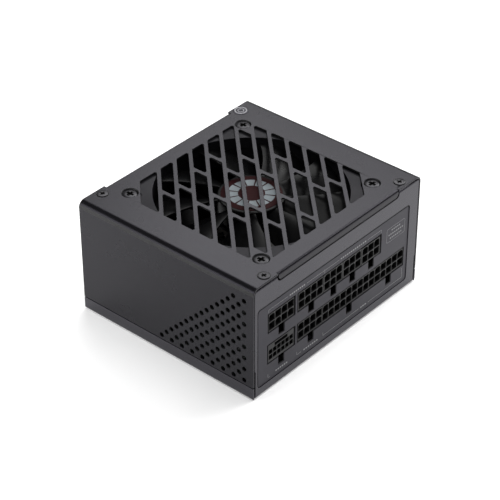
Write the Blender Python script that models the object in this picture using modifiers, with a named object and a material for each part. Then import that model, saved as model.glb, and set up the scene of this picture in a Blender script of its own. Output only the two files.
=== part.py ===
"""A small form factor computer power supply unit, 125 mm wide.

A folded steel tray holds the circuit boards, the modular output sockets, the mains inlet
and the power switch. A folded steel cover with a slotted grille carries the fan.
X runs along the socket panel, -Y is the socket panel's outward side and +Z is the fan side.
All driving dimensions are in millimetres and are turned into metres by MM.
"""

import math

import bmesh
import bpy
from mathutils import Matrix

MM = 0.001

# Case
WIDTH = 125.0
DEPTH = 109.5
HEIGHT = 63.5
SHEET = 1.0
GAP = 0.3
HALF_W = WIDTH / 2
HALF_D = DEPTH / 2
COVER_BEND = 3.6
TRAY_BEND = 1.3
COVER_SIDE_BOTTOM = 7.4
TRAY_SIDE_TOP = 6.9
TONGUE_HALF = 44.7
TONGUE_BOTTOM = 59.6
TONGUE_GAP = 0.7
REAR_SETBACK = 0.8
NOTCH_HEIGHT = 16.0
NOTCH_X = 60.7

# Grille
WINDOW_X = 44.6
WINDOW_Y = 44.75
LANE_PITCH = 11.37
LANE_OFFSET = 0.4
LANE_WIDTH = 8.45
CORNER_CUT = 75.4
BOSS = 36.6
CROSS_BAR = 2.05
SLOT_ROUND = 0.8
# Where the short cross bars stand in each diagonal lane, as X positions
CROSS_BARS = {
    -5: (-30.2,),
    -4: (-21.0,),
    -3: (-26.4, -5.7),
    -2: (-16.3, 8.6),
    -1: (-22.8, 4.6),
    0: (-11.6, 18.4),
    1: (-15.9, 14.3),
    2: (4.6, 29.5),
    3: (-0.8, 25.6),
    4: (21.8,),
    5: (30.1,),
}

# Side vent: a staggered triangle of round holes
VENT_ROWS = 15
VENT_STEP = 3.25
VENT_TOP = 55.2
VENT_START = -49.3
VENT_RADIUS = 1.3

# Fasteners
FAN_SCREW = 41.25
DIMPLE_DEPTH = 1.3
COVER_SCREW_X = 50.4
COVER_SCREW_Y = 50.7

# Fan
FAN_HALF = 49.0
FAN_CORNER = 10.0
FAN_TOP = 62.2
FAN_POCKET = 61.0
FAN_BOTTOM = 46.0
THROAT = 47.6
LIP = 6.4
HUB_RADIUS = 16.7
HUB_TOP = 60.2
BLADES = 9
BLADE_TIP = 46.4
FIRST_BLADE = -12.0

# Socket panel
LABEL = (-59.3, 54.6, 5.0, 50.3)
LABEL_DEPTH = 0.6
LABEL_THICKNESS = 0.2
SOCKET_FACE = -HALF_D + 0.45
SOCKET_BACK = -44.4
PITCH = 4.46
CELL = 3.8
SMALL_CELL = 2.3
ROW_PITCH = 4.6
SOCKET_HALF_H = 4.95
# name, columns, left edge, right edge, middle height, latch middle
SOCKETS = (
    ("socket_8pin_top_left", 4, -51.1, -33.1, 38.45, -41.9),
    ("socket_8pin_top_right", 4, -29.9, -11.55, 38.45, -20.3),
    ("socket_6pin_left", 3, -11.25, 3.1, 38.45, -3.7),
    ("socket_6pin_middle", 3, 3.4, 17.45, 38.45, 10.7),
    ("socket_6pin_right", 3, 17.75, 31.9, 38.2, 25.2),
    ("socket_8pin_bottom", 4, -30.0, -11.95, 20.8, -20.3),
    ("socket_18pin", 9, -11.65, 28.8, 20.8, 8.95),
    ("socket_10pin", 5, 29.1, 51.2, 20.8, 40.0),
)
# left, right, bottom and top of the panel openings behind which the sockets stand
OPENINGS = (
    (-51.6, -32.1, 32.9, 43.9),
    (-30.4, 32.8, 32.9, 43.9),
    (-51.9, -32.0, 15.1, 26.1),
    (-30.5, 51.8, 15.1, 26.1),
)
LATCHES_TOP = (-41.9, -20.3, -3.7, 10.7, 25.2)
LATCHES_BOTTOM = (-42.0, -20.3, 8.95, 40.0)
LATCH_HALF = 2.0
LATCH_DROP = 4.8

# Rear panel
INLET_X, INLET_Z = 36.5, 21.5
SWITCH_X, SWITCH_Z = 9.0, 21.5
ROCKER_TILT = 11.0
MOUNT_X, MOUNT_Z_LOW, MOUNT_Z_HIGH = 56.5, 6.0, 57.5
VENT_LIMIT_X = -12.0

# Boards
BOARD_BOTTOM = 5.0
BOARD_TOP = 6.6
BOARD_SCREWS = ((-54.5, -38.0), (54.5, -38.0), (-52.0, 45.0), (56.0, 41.0))

for old in list(bpy.data.objects):
    bpy.data.objects.remove(old, do_unlink=True)

unit = bpy.data.collections.new("power_supply_unit")
cutters = bpy.data.collections.new("cutters")
bpy.context.scene.collection.children.link(unit)
bpy.context.scene.collection.children.link(cutters)


# ---------------------------------------------------------------- materials
def material(name, colour, roughness, metallic=0.0):
    mat = bpy.data.materials.new(name)
    mat.use_nodes = True
    shader = mat.node_tree.nodes["Principled BSDF"]
    shader.inputs["Base Color"].default_value = (*colour, 1.0)
    shader.inputs["Roughness"].default_value = roughness
    shader.inputs["Metallic"].default_value = metallic
    mat.diffuse_color = (*colour, 1.0)
    return mat


# name, linear colour, roughness, metallic
FINISHES = {
    "case": ((0.105, 0.105, 0.115), 0.55, 0.2),
    "label": ((0.07, 0.07, 0.075), 0.5, 0.0),
    "socket": ((0.02, 0.02, 0.02), 0.5, 0.0),
    "fan": ((0.03, 0.03, 0.032), 0.45, 0.0),
    "sticker": ((0.07, 0.02, 0.02), 0.4, 0.0),
    "black_screw": ((0.05, 0.05, 0.055), 0.4, 0.8),
    "foil": ((0.6, 0.6, 0.6), 0.3, 0.9),
    "steel": ((0.55, 0.56, 0.58), 0.3, 1.0),
    "magnet": ((0.12, 0.11, 0.1), 0.6, 0.3),
    "brass": ((0.7, 0.5, 0.2), 0.3, 1.0),
    "copper": ((0.75, 0.35, 0.18), 0.35, 1.0),
    "board": ((0.01, 0.09, 0.035), 0.5, 0.0),
    "film": ((0.02, 0.02, 0.022), 0.3, 0.0),
    "ferrite": ((0.04, 0.04, 0.045), 0.6, 0.2),
    "tape": ((0.75, 0.6, 0.1), 0.4, 0.0),
    "sleeve": ((0.015, 0.015, 0.02), 0.35, 0.0),
    "heatsink": ((0.6, 0.61, 0.62), 0.4, 1.0),
    "chip": ((0.02, 0.02, 0.022), 0.45, 0.0),
    "box_cap": ((0.6, 0.42, 0.06), 0.4, 0.0),
    "toroid": ((0.05, 0.2, 0.12), 0.5, 0.0),
    "nylon": ((0.75, 0.74, 0.7), 0.5, 0.0),
    "wire": ((0.02, 0.02, 0.02), 0.5, 0.0),
}
MATERIALS = {key: material(key, *values) for key, values in FINISHES.items()}


# ---------------------------------------------------------------- helpers
def link(name, mesh, finish):
    obj = bpy.data.objects.new(name, mesh)
    if finish is None:
        cutters.objects.link(obj)
        obj.hide_render = True
        obj.display_type = "WIRE"
    else:
        unit.objects.link(obj)
        mesh.materials.append(MATERIALS[finish])
    return obj


def mesh_from(name, bm):
    bmesh.ops.recalc_face_normals(bm, faces=bm.faces[:])
    mesh = bpy.data.meshes.new(name)
    bm.to_mesh(mesh)
    bm.free()
    mesh.shade_smooth()
    mesh.set_sharp_from_angle(angle=math.radians(30))
    return mesh


def rounded(corners, steps=3):
    """A closed loop from (u, v) or (u, v, radius) corners, each radius turned into an arc."""
    loop = []
    count = len(corners)
    for i, corner in enumerate(corners):
        radius = corner[2] if len(corner) > 2 else 0.0
        u, v = corner[0], corner[1]
        if radius <= 0:
            loop.append((u, v))
            continue
        before = corners[i - 1]
        after = corners[(i + 1) % count]
        a = (before[0] - u, before[1] - v)
        b = (after[0] - u, after[1] - v)
        len_a, len_b = math.hypot(*a), math.hypot(*b)
        a = (a[0] / len_a, a[1] / len_a)
        b = (b[0] / len_b, b[1] / len_b)
        half = math.acos(max(-1.0, min(1.0, a[0] * b[0] + a[1] * b[1]))) / 2
        reach = min(radius / math.tan(half), 0.49 * len_a, 0.49 * len_b)
        real = reach * math.tan(half)
        to_centre = real / math.sin(half)
        mid = (a[0] + b[0], a[1] + b[1])
        mid_len = math.hypot(*mid)
        centre = (u + mid[0] / mid_len * to_centre, v + mid[1] / mid_len * to_centre)
        start = (u + a[0] * reach, v + a[1] * reach)
        end = (u + b[0] * reach, v + b[1] * reach)
        first = math.atan2(start[1] - centre[1], start[0] - centre[0])
        turn = math.atan2(end[1] - centre[1], end[0] - centre[0]) - first
        turn = (turn + math.pi) % (2 * math.pi) - math.pi
        for step in range(steps + 1):
            angle = first + turn * step / steps
            loop.append((centre[0] + real * math.cos(angle), centre[1] + real * math.sin(angle)))
    return loop


def rectangle(left, right, bottom, top, radius=0.0):
    return [
        (left, bottom, radius),
        (right, bottom, radius),
        (right, top, radius),
        (left, top, radius),
    ]


def circle(u, v, radius, sides, turn=0.0):
    step = 2 * math.pi / sides
    return [
        (u + radius * math.cos(turn + i * step), v + radius * math.sin(turn + i * step))
        for i in range(sides)
    ]


# Where a flat (u, v) drawing and its extrusion w go for each extrusion axis
AXES = {
    "Z": Matrix(((1, 0, 0, 0), (0, 1, 0, 0), (0, 0, 1, 0), (0, 0, 0, 1))),
    "Y": Matrix(((1, 0, 0, 0), (0, 0, 1, 0), (0, 1, 0, 0), (0, 0, 0, 1))),
    "X": Matrix(((0, 0, 1, 0), (1, 0, 0, 0), (0, 1, 0, 0), (0, 0, 0, 1))),
}


def extruded_bmesh(loops, low, high, axis):
    """Flat loops, filled and extruded from low to high along an axis, as one closed bmesh."""
    curve = bpy.data.curves.new("drawing", "CURVE")
    curve.dimensions = "2D"
    curve.fill_mode = "BOTH"
    curve.extrude = (high - low) / 2 * MM
    for loop in loops:
        spline = curve.splines.new("POLY")
        spline.points.add(len(loop) - 1)
        for point, (u, v) in zip(spline.points, loop):
            point.co = (u * MM, v * MM, 0.0, 1.0)
        spline.use_cyclic_u = True
    drawing = bpy.data.objects.new("drawing", curve)
    bpy.context.scene.collection.objects.link(drawing)
    graph = bpy.context.evaluated_depsgraph_get()
    mesh = bpy.data.meshes.new_from_object(drawing.evaluated_get(graph))
    bm = bmesh.new()
    bm.from_mesh(mesh)
    bpy.data.objects.remove(drawing, do_unlink=True)
    bpy.data.meshes.remove(mesh)
    bmesh.ops.remove_doubles(bm, verts=bm.verts[:], dist=1e-7)
    move = AXES[axis] @ Matrix.Translation((0, 0, (low + high) / 2 * MM))
    bmesh.ops.transform(bm, matrix=move, verts=bm.verts[:])
    return bm


def extruded(name, loops, low, high, axis, finish):
    return link(name, mesh_from(name, extruded_bmesh(loops, low, high, axis)), finish)


def box_bmesh(x0, x1, y0, y1, z0, z1):
    bm = bmesh.new()
    centre = Matrix.Translation(((x0 + x1) / 2 * MM, (y0 + y1) / 2 * MM, (z0 + z1) / 2 * MM))
    size = Matrix.Diagonal(((x1 - x0) * MM, (y1 - y0) * MM, (z1 - z0) * MM, 1.0))
    bmesh.ops.create_cube(bm, size=1.0, matrix=centre @ size)
    return bm


def rod_bmesh(x, y, z, radius, length, axis="Z", sides=16, top_radius=None):
    """A rod or cone that starts at (x, y, z) and runs along an axis."""
    turn = {
        "Z": Matrix(),
        "X": Matrix.Rotation(math.pi / 2, 4, "Y"),
        "Y": Matrix.Rotation(-math.pi / 2, 4, "X"),
    }
    bm = bmesh.new()
    place = Matrix.Translation((x * MM, y * MM, z * MM)) @ turn[axis]
    place = place @ Matrix.Translation((0, 0, length / 2 * MM))
    bmesh.ops.create_cone(
        bm,
        cap_ends=True,
        segments=sides,
        radius1=radius * MM,
        radius2=(radius if top_radius is None else top_radius) * MM,
        depth=length * MM,
        matrix=place,
    )
    return bm


def gathered(name, pieces, finish):
    """Several closed bmeshes that stay apart, as one object."""
    whole = bmesh.new()
    for piece in pieces:
        bmesh.ops.recalc_face_normals(piece, faces=piece.faces[:])
        part = bpy.data.meshes.new("piece")
        piece.to_mesh(part)
        piece.free()
        whole.from_mesh(part)
        bpy.data.meshes.remove(part)
    mesh = bpy.data.meshes.new(name)
    whole.to_mesh(mesh)
    whole.free()
    mesh.shade_smooth()
    mesh.set_sharp_from_angle(angle=math.radians(30))
    return link(name, mesh, finish)


def turned(name, profile, sides, finish, place=None):
    """A profile of (radius, height) points, closed on itself or on the axis, turned about Z."""
    bm = bmesh.new()
    verts = [bm.verts.new((radius * MM, 0.0, height * MM)) for radius, height in profile]
    for a, b in zip(verts, verts[1:] + verts[:1]):
        if abs(a.co.x) > 1e-9 or abs(b.co.x) > 1e-9:
            bm.edges.new((a, b))
    bmesh.ops.spin(
        bm,
        geom=bm.verts[:] + bm.edges[:],
        axis=(0, 0, 1),
        cent=(0, 0, 0),
        steps=sides,
        angle=2 * math.pi,
        use_merge=True,
    )
    bmesh.ops.remove_doubles(bm, verts=bm.verts[:], dist=1e-7)
    if place is not None:
        bmesh.ops.transform(bm, matrix=place, verts=bm.verts[:])
    return link(name, mesh_from(name, bm), finish)


def at(x, y, z=0.0):
    return Matrix.Translation((x * MM, y * MM, z * MM))


def combine(target, tool, operation):
    """A Boolean with a tool from the cutters collection, kept as a modifier."""
    boolean = target.modifiers.new(tool.name, "BOOLEAN")
    boolean.operation = operation
    boolean.solver = "EXACT"
    boolean.object = tool
    return target


def cut(target, tool):
    return combine(target, tool, "DIFFERENCE")


def add(target, tool):
    return combine(target, tool, "UNION")


def sheet_profile(corners, bend):
    """Gives every middle corner of a fold line the same outer bend radius."""
    return [
        (u, v, bend if 0 < i < len(corners) - 1 else 0.0) for i, (u, v) in enumerate(corners)
    ]


# ---------------------------------------------------------------- grille drawing
def clipped(polygon, a, b, limit):
    """The part of a convex polygon where a * x + b * y <= limit."""
    result = []
    for i, (x1, y1) in enumerate(polygon):
        x0, y0 = polygon[i - 1]
        d0 = a * x0 + b * y0 - limit
        d1 = a * x1 + b * y1 - limit
        if (d0 <= 0) != (d1 <= 0):
            share = d0 / (d0 - d1)
            result.append((x0 + (x1 - x0) * share, y0 + (y1 - y0) * share))
        if d1 <= 0:
            result.append((x1, y1))
    return result


def polygon_area(polygon):
    total = 0.0
    for i, (x1, y1) in enumerate(polygon):
        x0, y0 = polygon[i - 1]
        total += x0 * y1 - x1 * y0
    return abs(total) / 2


def without_short_edges(polygon, least):
    kept = []
    for point in polygon:
        if not kept or math.dist(point, kept[-1]) > least:
            kept.append(point)
    while len(kept) > 1 and math.dist(kept[0], kept[-1]) <= least:
        kept.pop()
    return kept


def grille_slots():
    slots = []
    for lane in range(-6, 7):
        middle = LANE_PITCH * lane + LANE_OFFSET
        low = middle - LANE_WIDTH / 2
        high = middle + LANE_WIDTH / 2
        if lane == -6:
            low = -CORNER_CUT
        if lane == 6:
            high = CORNER_CUT
        ends = [-WINDOW_X]
        for bar in CROSS_BARS.get(lane, ()):
            ends += [bar - CROSS_BAR / 2, bar + CROSS_BAR / 2]
        ends.append(WINDOW_X)
        for left, right in zip(ends[::2], ends[1::2]):
            slot = [(left, -WINDOW_Y), (right, -WINDOW_Y), (right, WINDOW_Y), (left, WINDOW_Y)]
            slot = clipped(slot, 1, -1, high)
            slot = clipped(slot, -1, 1, -low)
            if lane == 0:
                slot = clipped(slot, 1, 0, BOSS)
                slot = clipped(slot, -1, 0, BOSS)
            if lane == 1:
                slot = clipped(slot, 0, 1, BOSS)
                slot = clipped(slot, -1, 0, BOSS)
            if lane == -1:
                slot = clipped(slot, 1, 0, BOSS)
                slot = clipped(slot, 0, -1, BOSS)
            slot = without_short_edges(slot, 0.6)
            if len(slot) > 2 and polygon_area(slot) > 3.0:
                slots.append(rounded([(x, y, SLOT_ROUND) for x, y in slot], 1))
    return slots


# ---------------------------------------------------------------- top cover
def make_top_cover():
    inner = HALF_W - SHEET
    top = HEIGHT - SHEET
    arch = rounded(
        sheet_profile(
            [
                (-HALF_W, COVER_SIDE_BOTTOM),
                (-HALF_W, HEIGHT),
                (HALF_W, HEIGHT),
                (HALF_W, COVER_SIDE_BOTTOM),
            ],
            COVER_BEND,
        )
        + sheet_profile(
            [(inner, COVER_SIDE_BOTTOM), (inner, top), (-inner, top), (-inner, COVER_SIDE_BOTTOM)],
            COVER_BEND - SHEET,
        ),
        5,
    )
    cover = extruded("top_cover", [arch], -HALF_D, HALF_D, "Y", "case")
    relief = TONGUE_HALF + GAP
    back = HALF_D - REAR_SETBACK
    setback = gathered(
        "cover_front_and_rear_relief",
        [
            box_bmesh(-relief, relief, -HALF_D - 1, -HALF_D + 1.4, 60, 65),
            box_bmesh(-relief, relief, back - 1.4, HALF_D + 1, 60, 65),
        ],
        None,
    )
    cut(cover, setback)
    strap = rounded(
        sheet_profile(
            [(-HALF_D, TONGUE_BOTTOM - 1), (-HALF_D, HEIGHT), (back, HEIGHT), (back, TONGUE_BOTTOM - 1)],
            TRAY_BEND,
        )
        + sheet_profile(
            [
                (back - SHEET, TONGUE_BOTTOM - 1),
                (back - SHEET, top),
                (-HALF_D + SHEET, top),
                (-HALF_D + SHEET, TONGUE_BOTTOM - 1),
            ],
            TRAY_BEND - SHEET,
        ),
        4,
    )
    tongues = extruded("cover_tongues", [strap], -TONGUE_HALF - 1, TONGUE_HALF + 1, "X", None)
    face = rounded(
        [
            (-TONGUE_HALF, TONGUE_BOTTOM, 2.0),
            (TONGUE_HALF, TONGUE_BOTTOM, 2.0),
            (TONGUE_HALF, 66.0),
            (-TONGUE_HALF, 66.0),
        ],
        4,
    )
    outline = extruded("cover_tongue_outline", [face], -HALF_D - 2, HALF_D + 2, "Y", None)
    combine(tongues, outline, "INTERSECT")
    add(cover, tongues)

    cups = []
    bowls = []
    for x in (-FAN_SCREW, FAN_SCREW):
        for y in (-FAN_SCREW, FAN_SCREW):
            floor = top - DIMPLE_DEPTH
            cups.append(rod_bmesh(x, y, floor, 4.5, DIMPLE_DEPTH + 0.5, "Z", 20, 5.0))
            bowls.append(rod_bmesh(x, y, floor + SHEET, 3.7, DIMPLE_DEPTH + 0.1, "Z", 20, 4.25))
            bowls.append(rod_bmesh(x, y, floor - 1, 2.1, 3.0, "Z", 12))
    add(cover, gathered("cover_dimple_cups", cups, None))
    holes = []
    for x in (-COVER_SCREW_X, COVER_SCREW_X):
        for y in (-COVER_SCREW_Y, COVER_SCREW_Y):
            holes.append(rod_bmesh(x, y, HEIGHT - 0.8, 1.9, 1.0, "Z", 16, 3.6))
    drill = []
    for x in (-COVER_SCREW_X, COVER_SCREW_X):
        for y in (-COVER_SCREW_Y, COVER_SCREW_Y):
            drill.append(rod_bmesh(x, y, HEIGHT - 3, 1.9, 2.5, "Z", 16))
    cut(cover, gathered("cover_dimple_bowls", bowls[::2] + holes, None))
    cut(cover, gathered("cover_screw_holes", bowls[1::2] + drill, None))

    slots = [extruded_bmesh([loop], HEIGHT - 3, HEIGHT + 1, "Z") for loop in grille_slots()]
    cut(cover, gathered("grille_slots", slots, None))

    vents = []
    for row in range(VENT_ROWS):
        for column in range(row + 3):
            if (row + column) % 2 == 0:
                y = VENT_START + VENT_STEP * column
                z = VENT_TOP - VENT_STEP * row
                vents.append(rod_bmesh(-HALF_W - 1, y, z, VENT_RADIUS, 3.0, "X", 6))
    cut(cover, gathered("side_vents", vents, None))
    return cover


# ---------------------------------------------------------------- tray
def hex_vents():
    """Honeycomb openings of the rear panel, beside the switch."""
    pitch = 8.2
    holes = []
    for row in range(5):
        z = 9.6 + row * pitch * 0.866
        shift = pitch / 2 if row % 2 else 0.0
        for column in range(6):
            x = -50.5 + shift + column * pitch
            if x < VENT_LIMIT_X:
                holes.append((x, z))
    return holes


def make_tray():
    top = HEIGHT - SHEET - GAP
    lip = 46.8
    strip = rounded(
        sheet_profile(
            [(-lip, top), (-HALF_D, top), (-HALF_D, 0), (HALF_D, 0), (HALF_D, top), (lip, top)],
            TRAY_BEND,
        )
        + sheet_profile(
            [
                (lip, top - SHEET),
                (HALF_D - SHEET, top - SHEET),
                (HALF_D - SHEET, SHEET),
                (-HALF_D + SHEET, SHEET),
                (-HALF_D + SHEET, top - SHEET),
                (-lip, top - SHEET),
            ],
            TRAY_BEND - SHEET,
        ),
        4,
    )
    side = HALF_W - SHEET - GAP
    tray = extruded("tray", [strip], -HALF_W, HALF_W, "X", "case")
    corner = COVER_BEND - SHEET - GAP
    notch = TONGUE_HALF + TONGUE_GAP
    seat = TONGUE_BOTTOM - TONGUE_GAP
    arc = rounded([(side, NOTCH_HEIGHT), (side, top, corner), (0.0, top)], 4)[1:-1]
    half = [(NOTCH_X, -1.0), (NOTCH_X, NOTCH_HEIGHT), (side, NOTCH_HEIGHT)] + arc
    half += [(side - corner - 0.2, top + 1), (notch, top + 1)]
    half += rounded([(notch, top + 1), (notch, seat, 2.3), (0.0, seat)], 4)[1:-1]
    loop = half + [(-x, z) for x, z in reversed(half)]
    outline = extruded("tray_outline", [loop], -HALF_D - 2, HALF_D + 2, "Y", None)
    combine(tray, outline, "INTERSECT")
    fan_room = FAN_HALF + 0.4
    cut(tray, gathered("tray_fan_relief", [box_bmesh(-46.5, 46.5, -fan_room, fan_room, 60, 66)], None))

    lips = []
    for x0, x1 in ((-HALF_W, -54.8), (54.8, HALF_W)):
        for y0, y1 in ((-HALF_D + SHEET + 0.02, -lip + 1), (lip - 1, HALF_D - SHEET - 0.02)):
            lips.append(box_bmesh(x0, x1, y0, y1, 60.0, 64.0))
    cut(tray, gathered("tray_lip_ends", lips, None))

    inner = HALF_W - SHEET
    trough = rounded(
        sheet_profile(
            [(-HALF_W, TRAY_SIDE_TOP), (-HALF_W, 0), (HALF_W, 0), (HALF_W, TRAY_SIDE_TOP)],
            TRAY_BEND,
        )
        + sheet_profile(
            [(inner, TRAY_SIDE_TOP), (inner, SHEET), (-inner, SHEET), (-inner, TRAY_SIDE_TOP)],
            TRAY_BEND - SHEET,
        ),
        4,
    )
    sides = extruded("tray_sides", [trough], -HALF_D, HALF_D, "Y", None)
    ends = gathered(
        "tray_side_ends",
        [
            box_bmesh(-inner - 0.05, inner + 0.05, -HALF_D - 1, -HALF_D + 1.6, -1, 8),
            box_bmesh(-inner - 0.05, inner + 0.05, HALF_D - 1.6, HALF_D + 1, -1, 8),
        ],
        None,
    )
    cut(sides, ends)
    add(tray, sides)

    bosses = [rod_bmesh(x, y, 0.5, 3.6, 4.2, "Z", 16, 2.9) for x, y in BOARD_SCREWS]
    add(tray, gathered("board_bosses", bosses, None))

    panel = []
    for left, right, bottom, high in OPENINGS:
        panel.append(box_bmesh(left, right, -HALF_D - 1, -HALF_D + 3, bottom, high))
    cut(tray, gathered("socket_openings", panel, None))
    latches = []
    for row, foot in ((LATCHES_TOP, 32.9), (LATCHES_BOTTOM, 15.1)):
        for x in row:
            left, right = x - LATCH_HALF, x + LATCH_HALF
            low = foot - LATCH_DROP
            latches.append(box_bmesh(left, right, -HALF_D - 1, -HALF_D + 3, low, foot + 0.5))
    cut(tray, gathered("latch_openings", latches, None))
    recess = rounded(rectangle(*LABEL, 1.8), 3)
    pocket = extruded("label_recess", [recess], -HALF_D - 1, -HALF_D + LABEL_DEPTH, "Y", None)
    cut(tray, pocket)

    inlet = rounded(
        [
            (INLET_X - 14.0, INLET_Z - 10.4),
            (INLET_X + 14.0, INLET_Z - 10.4),
            (INLET_X + 14.0, INLET_Z + 5.6),
            (INLET_X + 9.2, INLET_Z + 10.4),
            (INLET_X - 9.2, INLET_Z + 10.4),
            (INLET_X - 14.0, INLET_Z + 5.6),
        ]
    )
    switch = rectangle(SWITCH_X - 6.8, SWITCH_X + 6.8, SWITCH_Z - 9.8, SWITCH_Z + 9.8)
    rear = [
        extruded_bmesh([inlet], HALF_D - 3, HALF_D + 1, "Y"),
        extruded_bmesh([rounded(switch)], HALF_D - 3, HALF_D + 1, "Y"),
    ]
    for x, z in hex_vents():
        loop = circle(x, z, 4.0, 6, math.pi / 6)
        rear.append(extruded_bmesh([loop], HALF_D - 3, HALF_D + 1, "Y"))
    for x in (-MOUNT_X, MOUNT_X):
        for z in (MOUNT_Z_LOW, MOUNT_Z_HIGH):
            rear.append(rod_bmesh(x, HALF_D - 3, z, 1.75, 4, "Y", 12))
    cut(tray, gathered("rear_openings", rear, None))

    drill = [rod_bmesh(x, y, 1.6, 1.5, 6.0, "Z", 12) for x, y in BOARD_SCREWS]
    for x in (-COVER_SCREW_X, COVER_SCREW_X):
        for y in (-COVER_SCREW_Y, COVER_SCREW_Y):
            drill.append(rod_bmesh(x, y, 58.0, 1.8, 8.0, "Z", 12))
    cut(tray, gathered("tray_screw_holes", drill, None))
    return tray


def make_label():
    left, right, bottom, high = LABEL
    loops = [rounded(rectangle(left + 0.1, right - 0.1, bottom + 0.1, high - 0.1, 1.7), 3)]
    for row, (a, b) in ((LATCHES_TOP, (0, 1)), (LATCHES_BOTTOM, (2, 3))):
        for index in (a, b):
            x0, x1, z0, z1 = OPENINGS[index]
            x0, x1, z0, z1 = x0 - 0.2, x1 + 0.2, z0 - 0.2, z1 + 0.2
            loop = [(x0, z1), (x0, z0)]
            for x in row:
                if x0 < x < x1:
                    loop += [
                        (x - 2.2, z0),
                        (x - 2.2, z0 - LATCH_DROP),
                        (x + 2.2, z0 - LATCH_DROP),
                        (x + 2.2, z0),
                    ]
            loop += [(x1, z0), (x1, z1)]
            loops.append(loop)
    back = -HALF_D + LABEL_DEPTH - 0.05
    return extruded("socket_label", loops, back - LABEL_THICKNESS, back, "Y", "label")


# ---------------------------------------------------------------- screws
def cross_recess(x, y, z, reach, depth):
    """Two crossed wedges that cut the driver recess of a screw head."""
    return [
        box_bmesh(x - reach, x + reach, y - 0.5, y + 0.5, z - depth, z + 1),
        box_bmesh(x - 0.5, x + 0.5, y - reach, y + reach, z - depth, z + 1),
    ]


def make_screw(name, x, y, profile, top, reach, depth, finish="black_screw"):
    screw = turned(name, profile, 12, finish, at(x, y))
    first, second = cross_recess(x, y, top, reach, depth)
    cut(screw, gathered(name + "_slot_a", [first], None))
    cut(screw, gathered(name + "_slot_b", [second], None))
    return screw


def make_screws():
    names = {(-1, -1): "front_left", (1, -1): "front_right", (-1, 1): "rear_left", (1, 1): "rear_right"}
    for (sx, sy), place in names.items():
        floor = HEIGHT - DIMPLE_DEPTH
        profile = [
            (0, floor + 1.05),
            (1.6, floor + 1.0),
            (3.0, floor + 0.7),
            (3.35, floor + 0.35),
            (3.3, floor + 0.15),
            (1.8, floor + 0.15),
            (1.8, floor - 7.4),
            (1.3, floor - 8.0),
            (0, floor - 8.0),
        ]
        make_screw(
            "fan_screw_" + place, sx * FAN_SCREW, sy * FAN_SCREW, profile, floor + 1.05, 1.8, 0.7
        )
        sealed = (sx, sy) == (1, 1)
        crown = HEIGHT - 0.1 if sealed else HEIGHT + 0.4
        profile = [
            (0, crown),
            (1.5, crown - (0.02 if sealed else 0.08)),
            (2.85, HEIGHT - 0.14 if sealed else HEIGHT + 0.08),
            (1.5, HEIGHT - 0.95),
            (1.5, HEIGHT - 6.0),
            (1.0, HEIGHT - 6.6),
            (0, HEIGHT - 6.6),
        ]
        make_screw(
            "cover_screw_" + place, sx * COVER_SCREW_X, sy * COVER_SCREW_Y, profile, crown, 1.2, 0.5
        )
    seal = [(0, HEIGHT + 0.2), (3.9, HEIGHT + 0.2), (3.9, HEIGHT + 0.05), (0, HEIGHT + 0.05)]
    turned("seal_sticker", seal, 24, "foil", at(COVER_SCREW_X, COVER_SCREW_Y))


# ---------------------------------------------------------------- fan
def make_fan_frame():
    frame = extruded(
        "fan_frame",
        [rounded(rectangle(-FAN_HALF, FAN_HALF, -FAN_HALF, FAN_HALF, FAN_CORNER), 5)],
        FAN_BOTTOM,
        FAN_TOP,
        "Z",
        "fan",
    )
    duct = [
        (0, FAN_TOP + 1),
        (THROAT, FAN_TOP + 1),
        (THROAT, FAN_TOP - LIP),
        (THROAT + 0.3, FAN_TOP - LIP - 0.3),
        (THROAT + 0.3, FAN_BOTTOM - 1),
        (0, FAN_BOTTOM - 1),
    ]
    cut(frame, turned("fan_duct", duct, 48, None))
    posts = []
    pockets = []
    for x in (-FAN_SCREW, FAN_SCREW):
        for y in (-FAN_SCREW, FAN_SCREW):
            posts.append(rod_bmesh(x, y, FAN_BOTTOM - 1, 2.15, 18, "Z", 12))
            pockets.append(rod_bmesh(x, y, FAN_POCKET, 5.4, 2.0, "Z", 24))
    cut(frame, gathered("fan_frame_pockets", pockets, None))
    cut(frame, gathered("fan_frame_screw_holes", posts, None))
    base = turned(
        "fan_motor_base",
        [
            (17.2, FAN_BOTTOM + 1.6),
            (17.2, FAN_BOTTOM + 0.1),
            (2.3, FAN_BOTTOM + 0.1),
            (2.3, FAN_BOTTOM + 1.2),
            (3.4, FAN_BOTTOM + 1.2),
            (3.4, FAN_BOTTOM + 9.0),
            (4.4, FAN_BOTTOM + 9.0),
            (4.4, FAN_BOTTOM + 1.6),
        ],
        24,
        None,
    )
    arms = []
    for i in range(4):
        bm = box_bmesh(14.0, 50.0, -1.8, 1.8, FAN_BOTTOM + 0.1, FAN_BOTTOM + 2.3)
        turn = Matrix.Rotation(math.radians(20 + 90 * i), 4, "Z")
        bmesh.ops.transform(bm, matrix=turn, verts=bm.verts[:])
        arms.append(bm)
    spokes = gathered("fan_spokes", arms, None)
    limit = extruded(
        "fan_spoke_limit",
        [rounded(rectangle(-FAN_HALF + 0.3, FAN_HALF - 0.3, -FAN_HALF + 0.3, FAN_HALF - 0.3, 10.0), 3)],
        FAN_BOTTOM - 2,
        FAN_BOTTOM + 4,
        "Z",
        None,
    )
    combine(spokes, limit, "INTERSECT")
    add(spokes, base)
    add(frame, spokes)
    return frame


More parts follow.
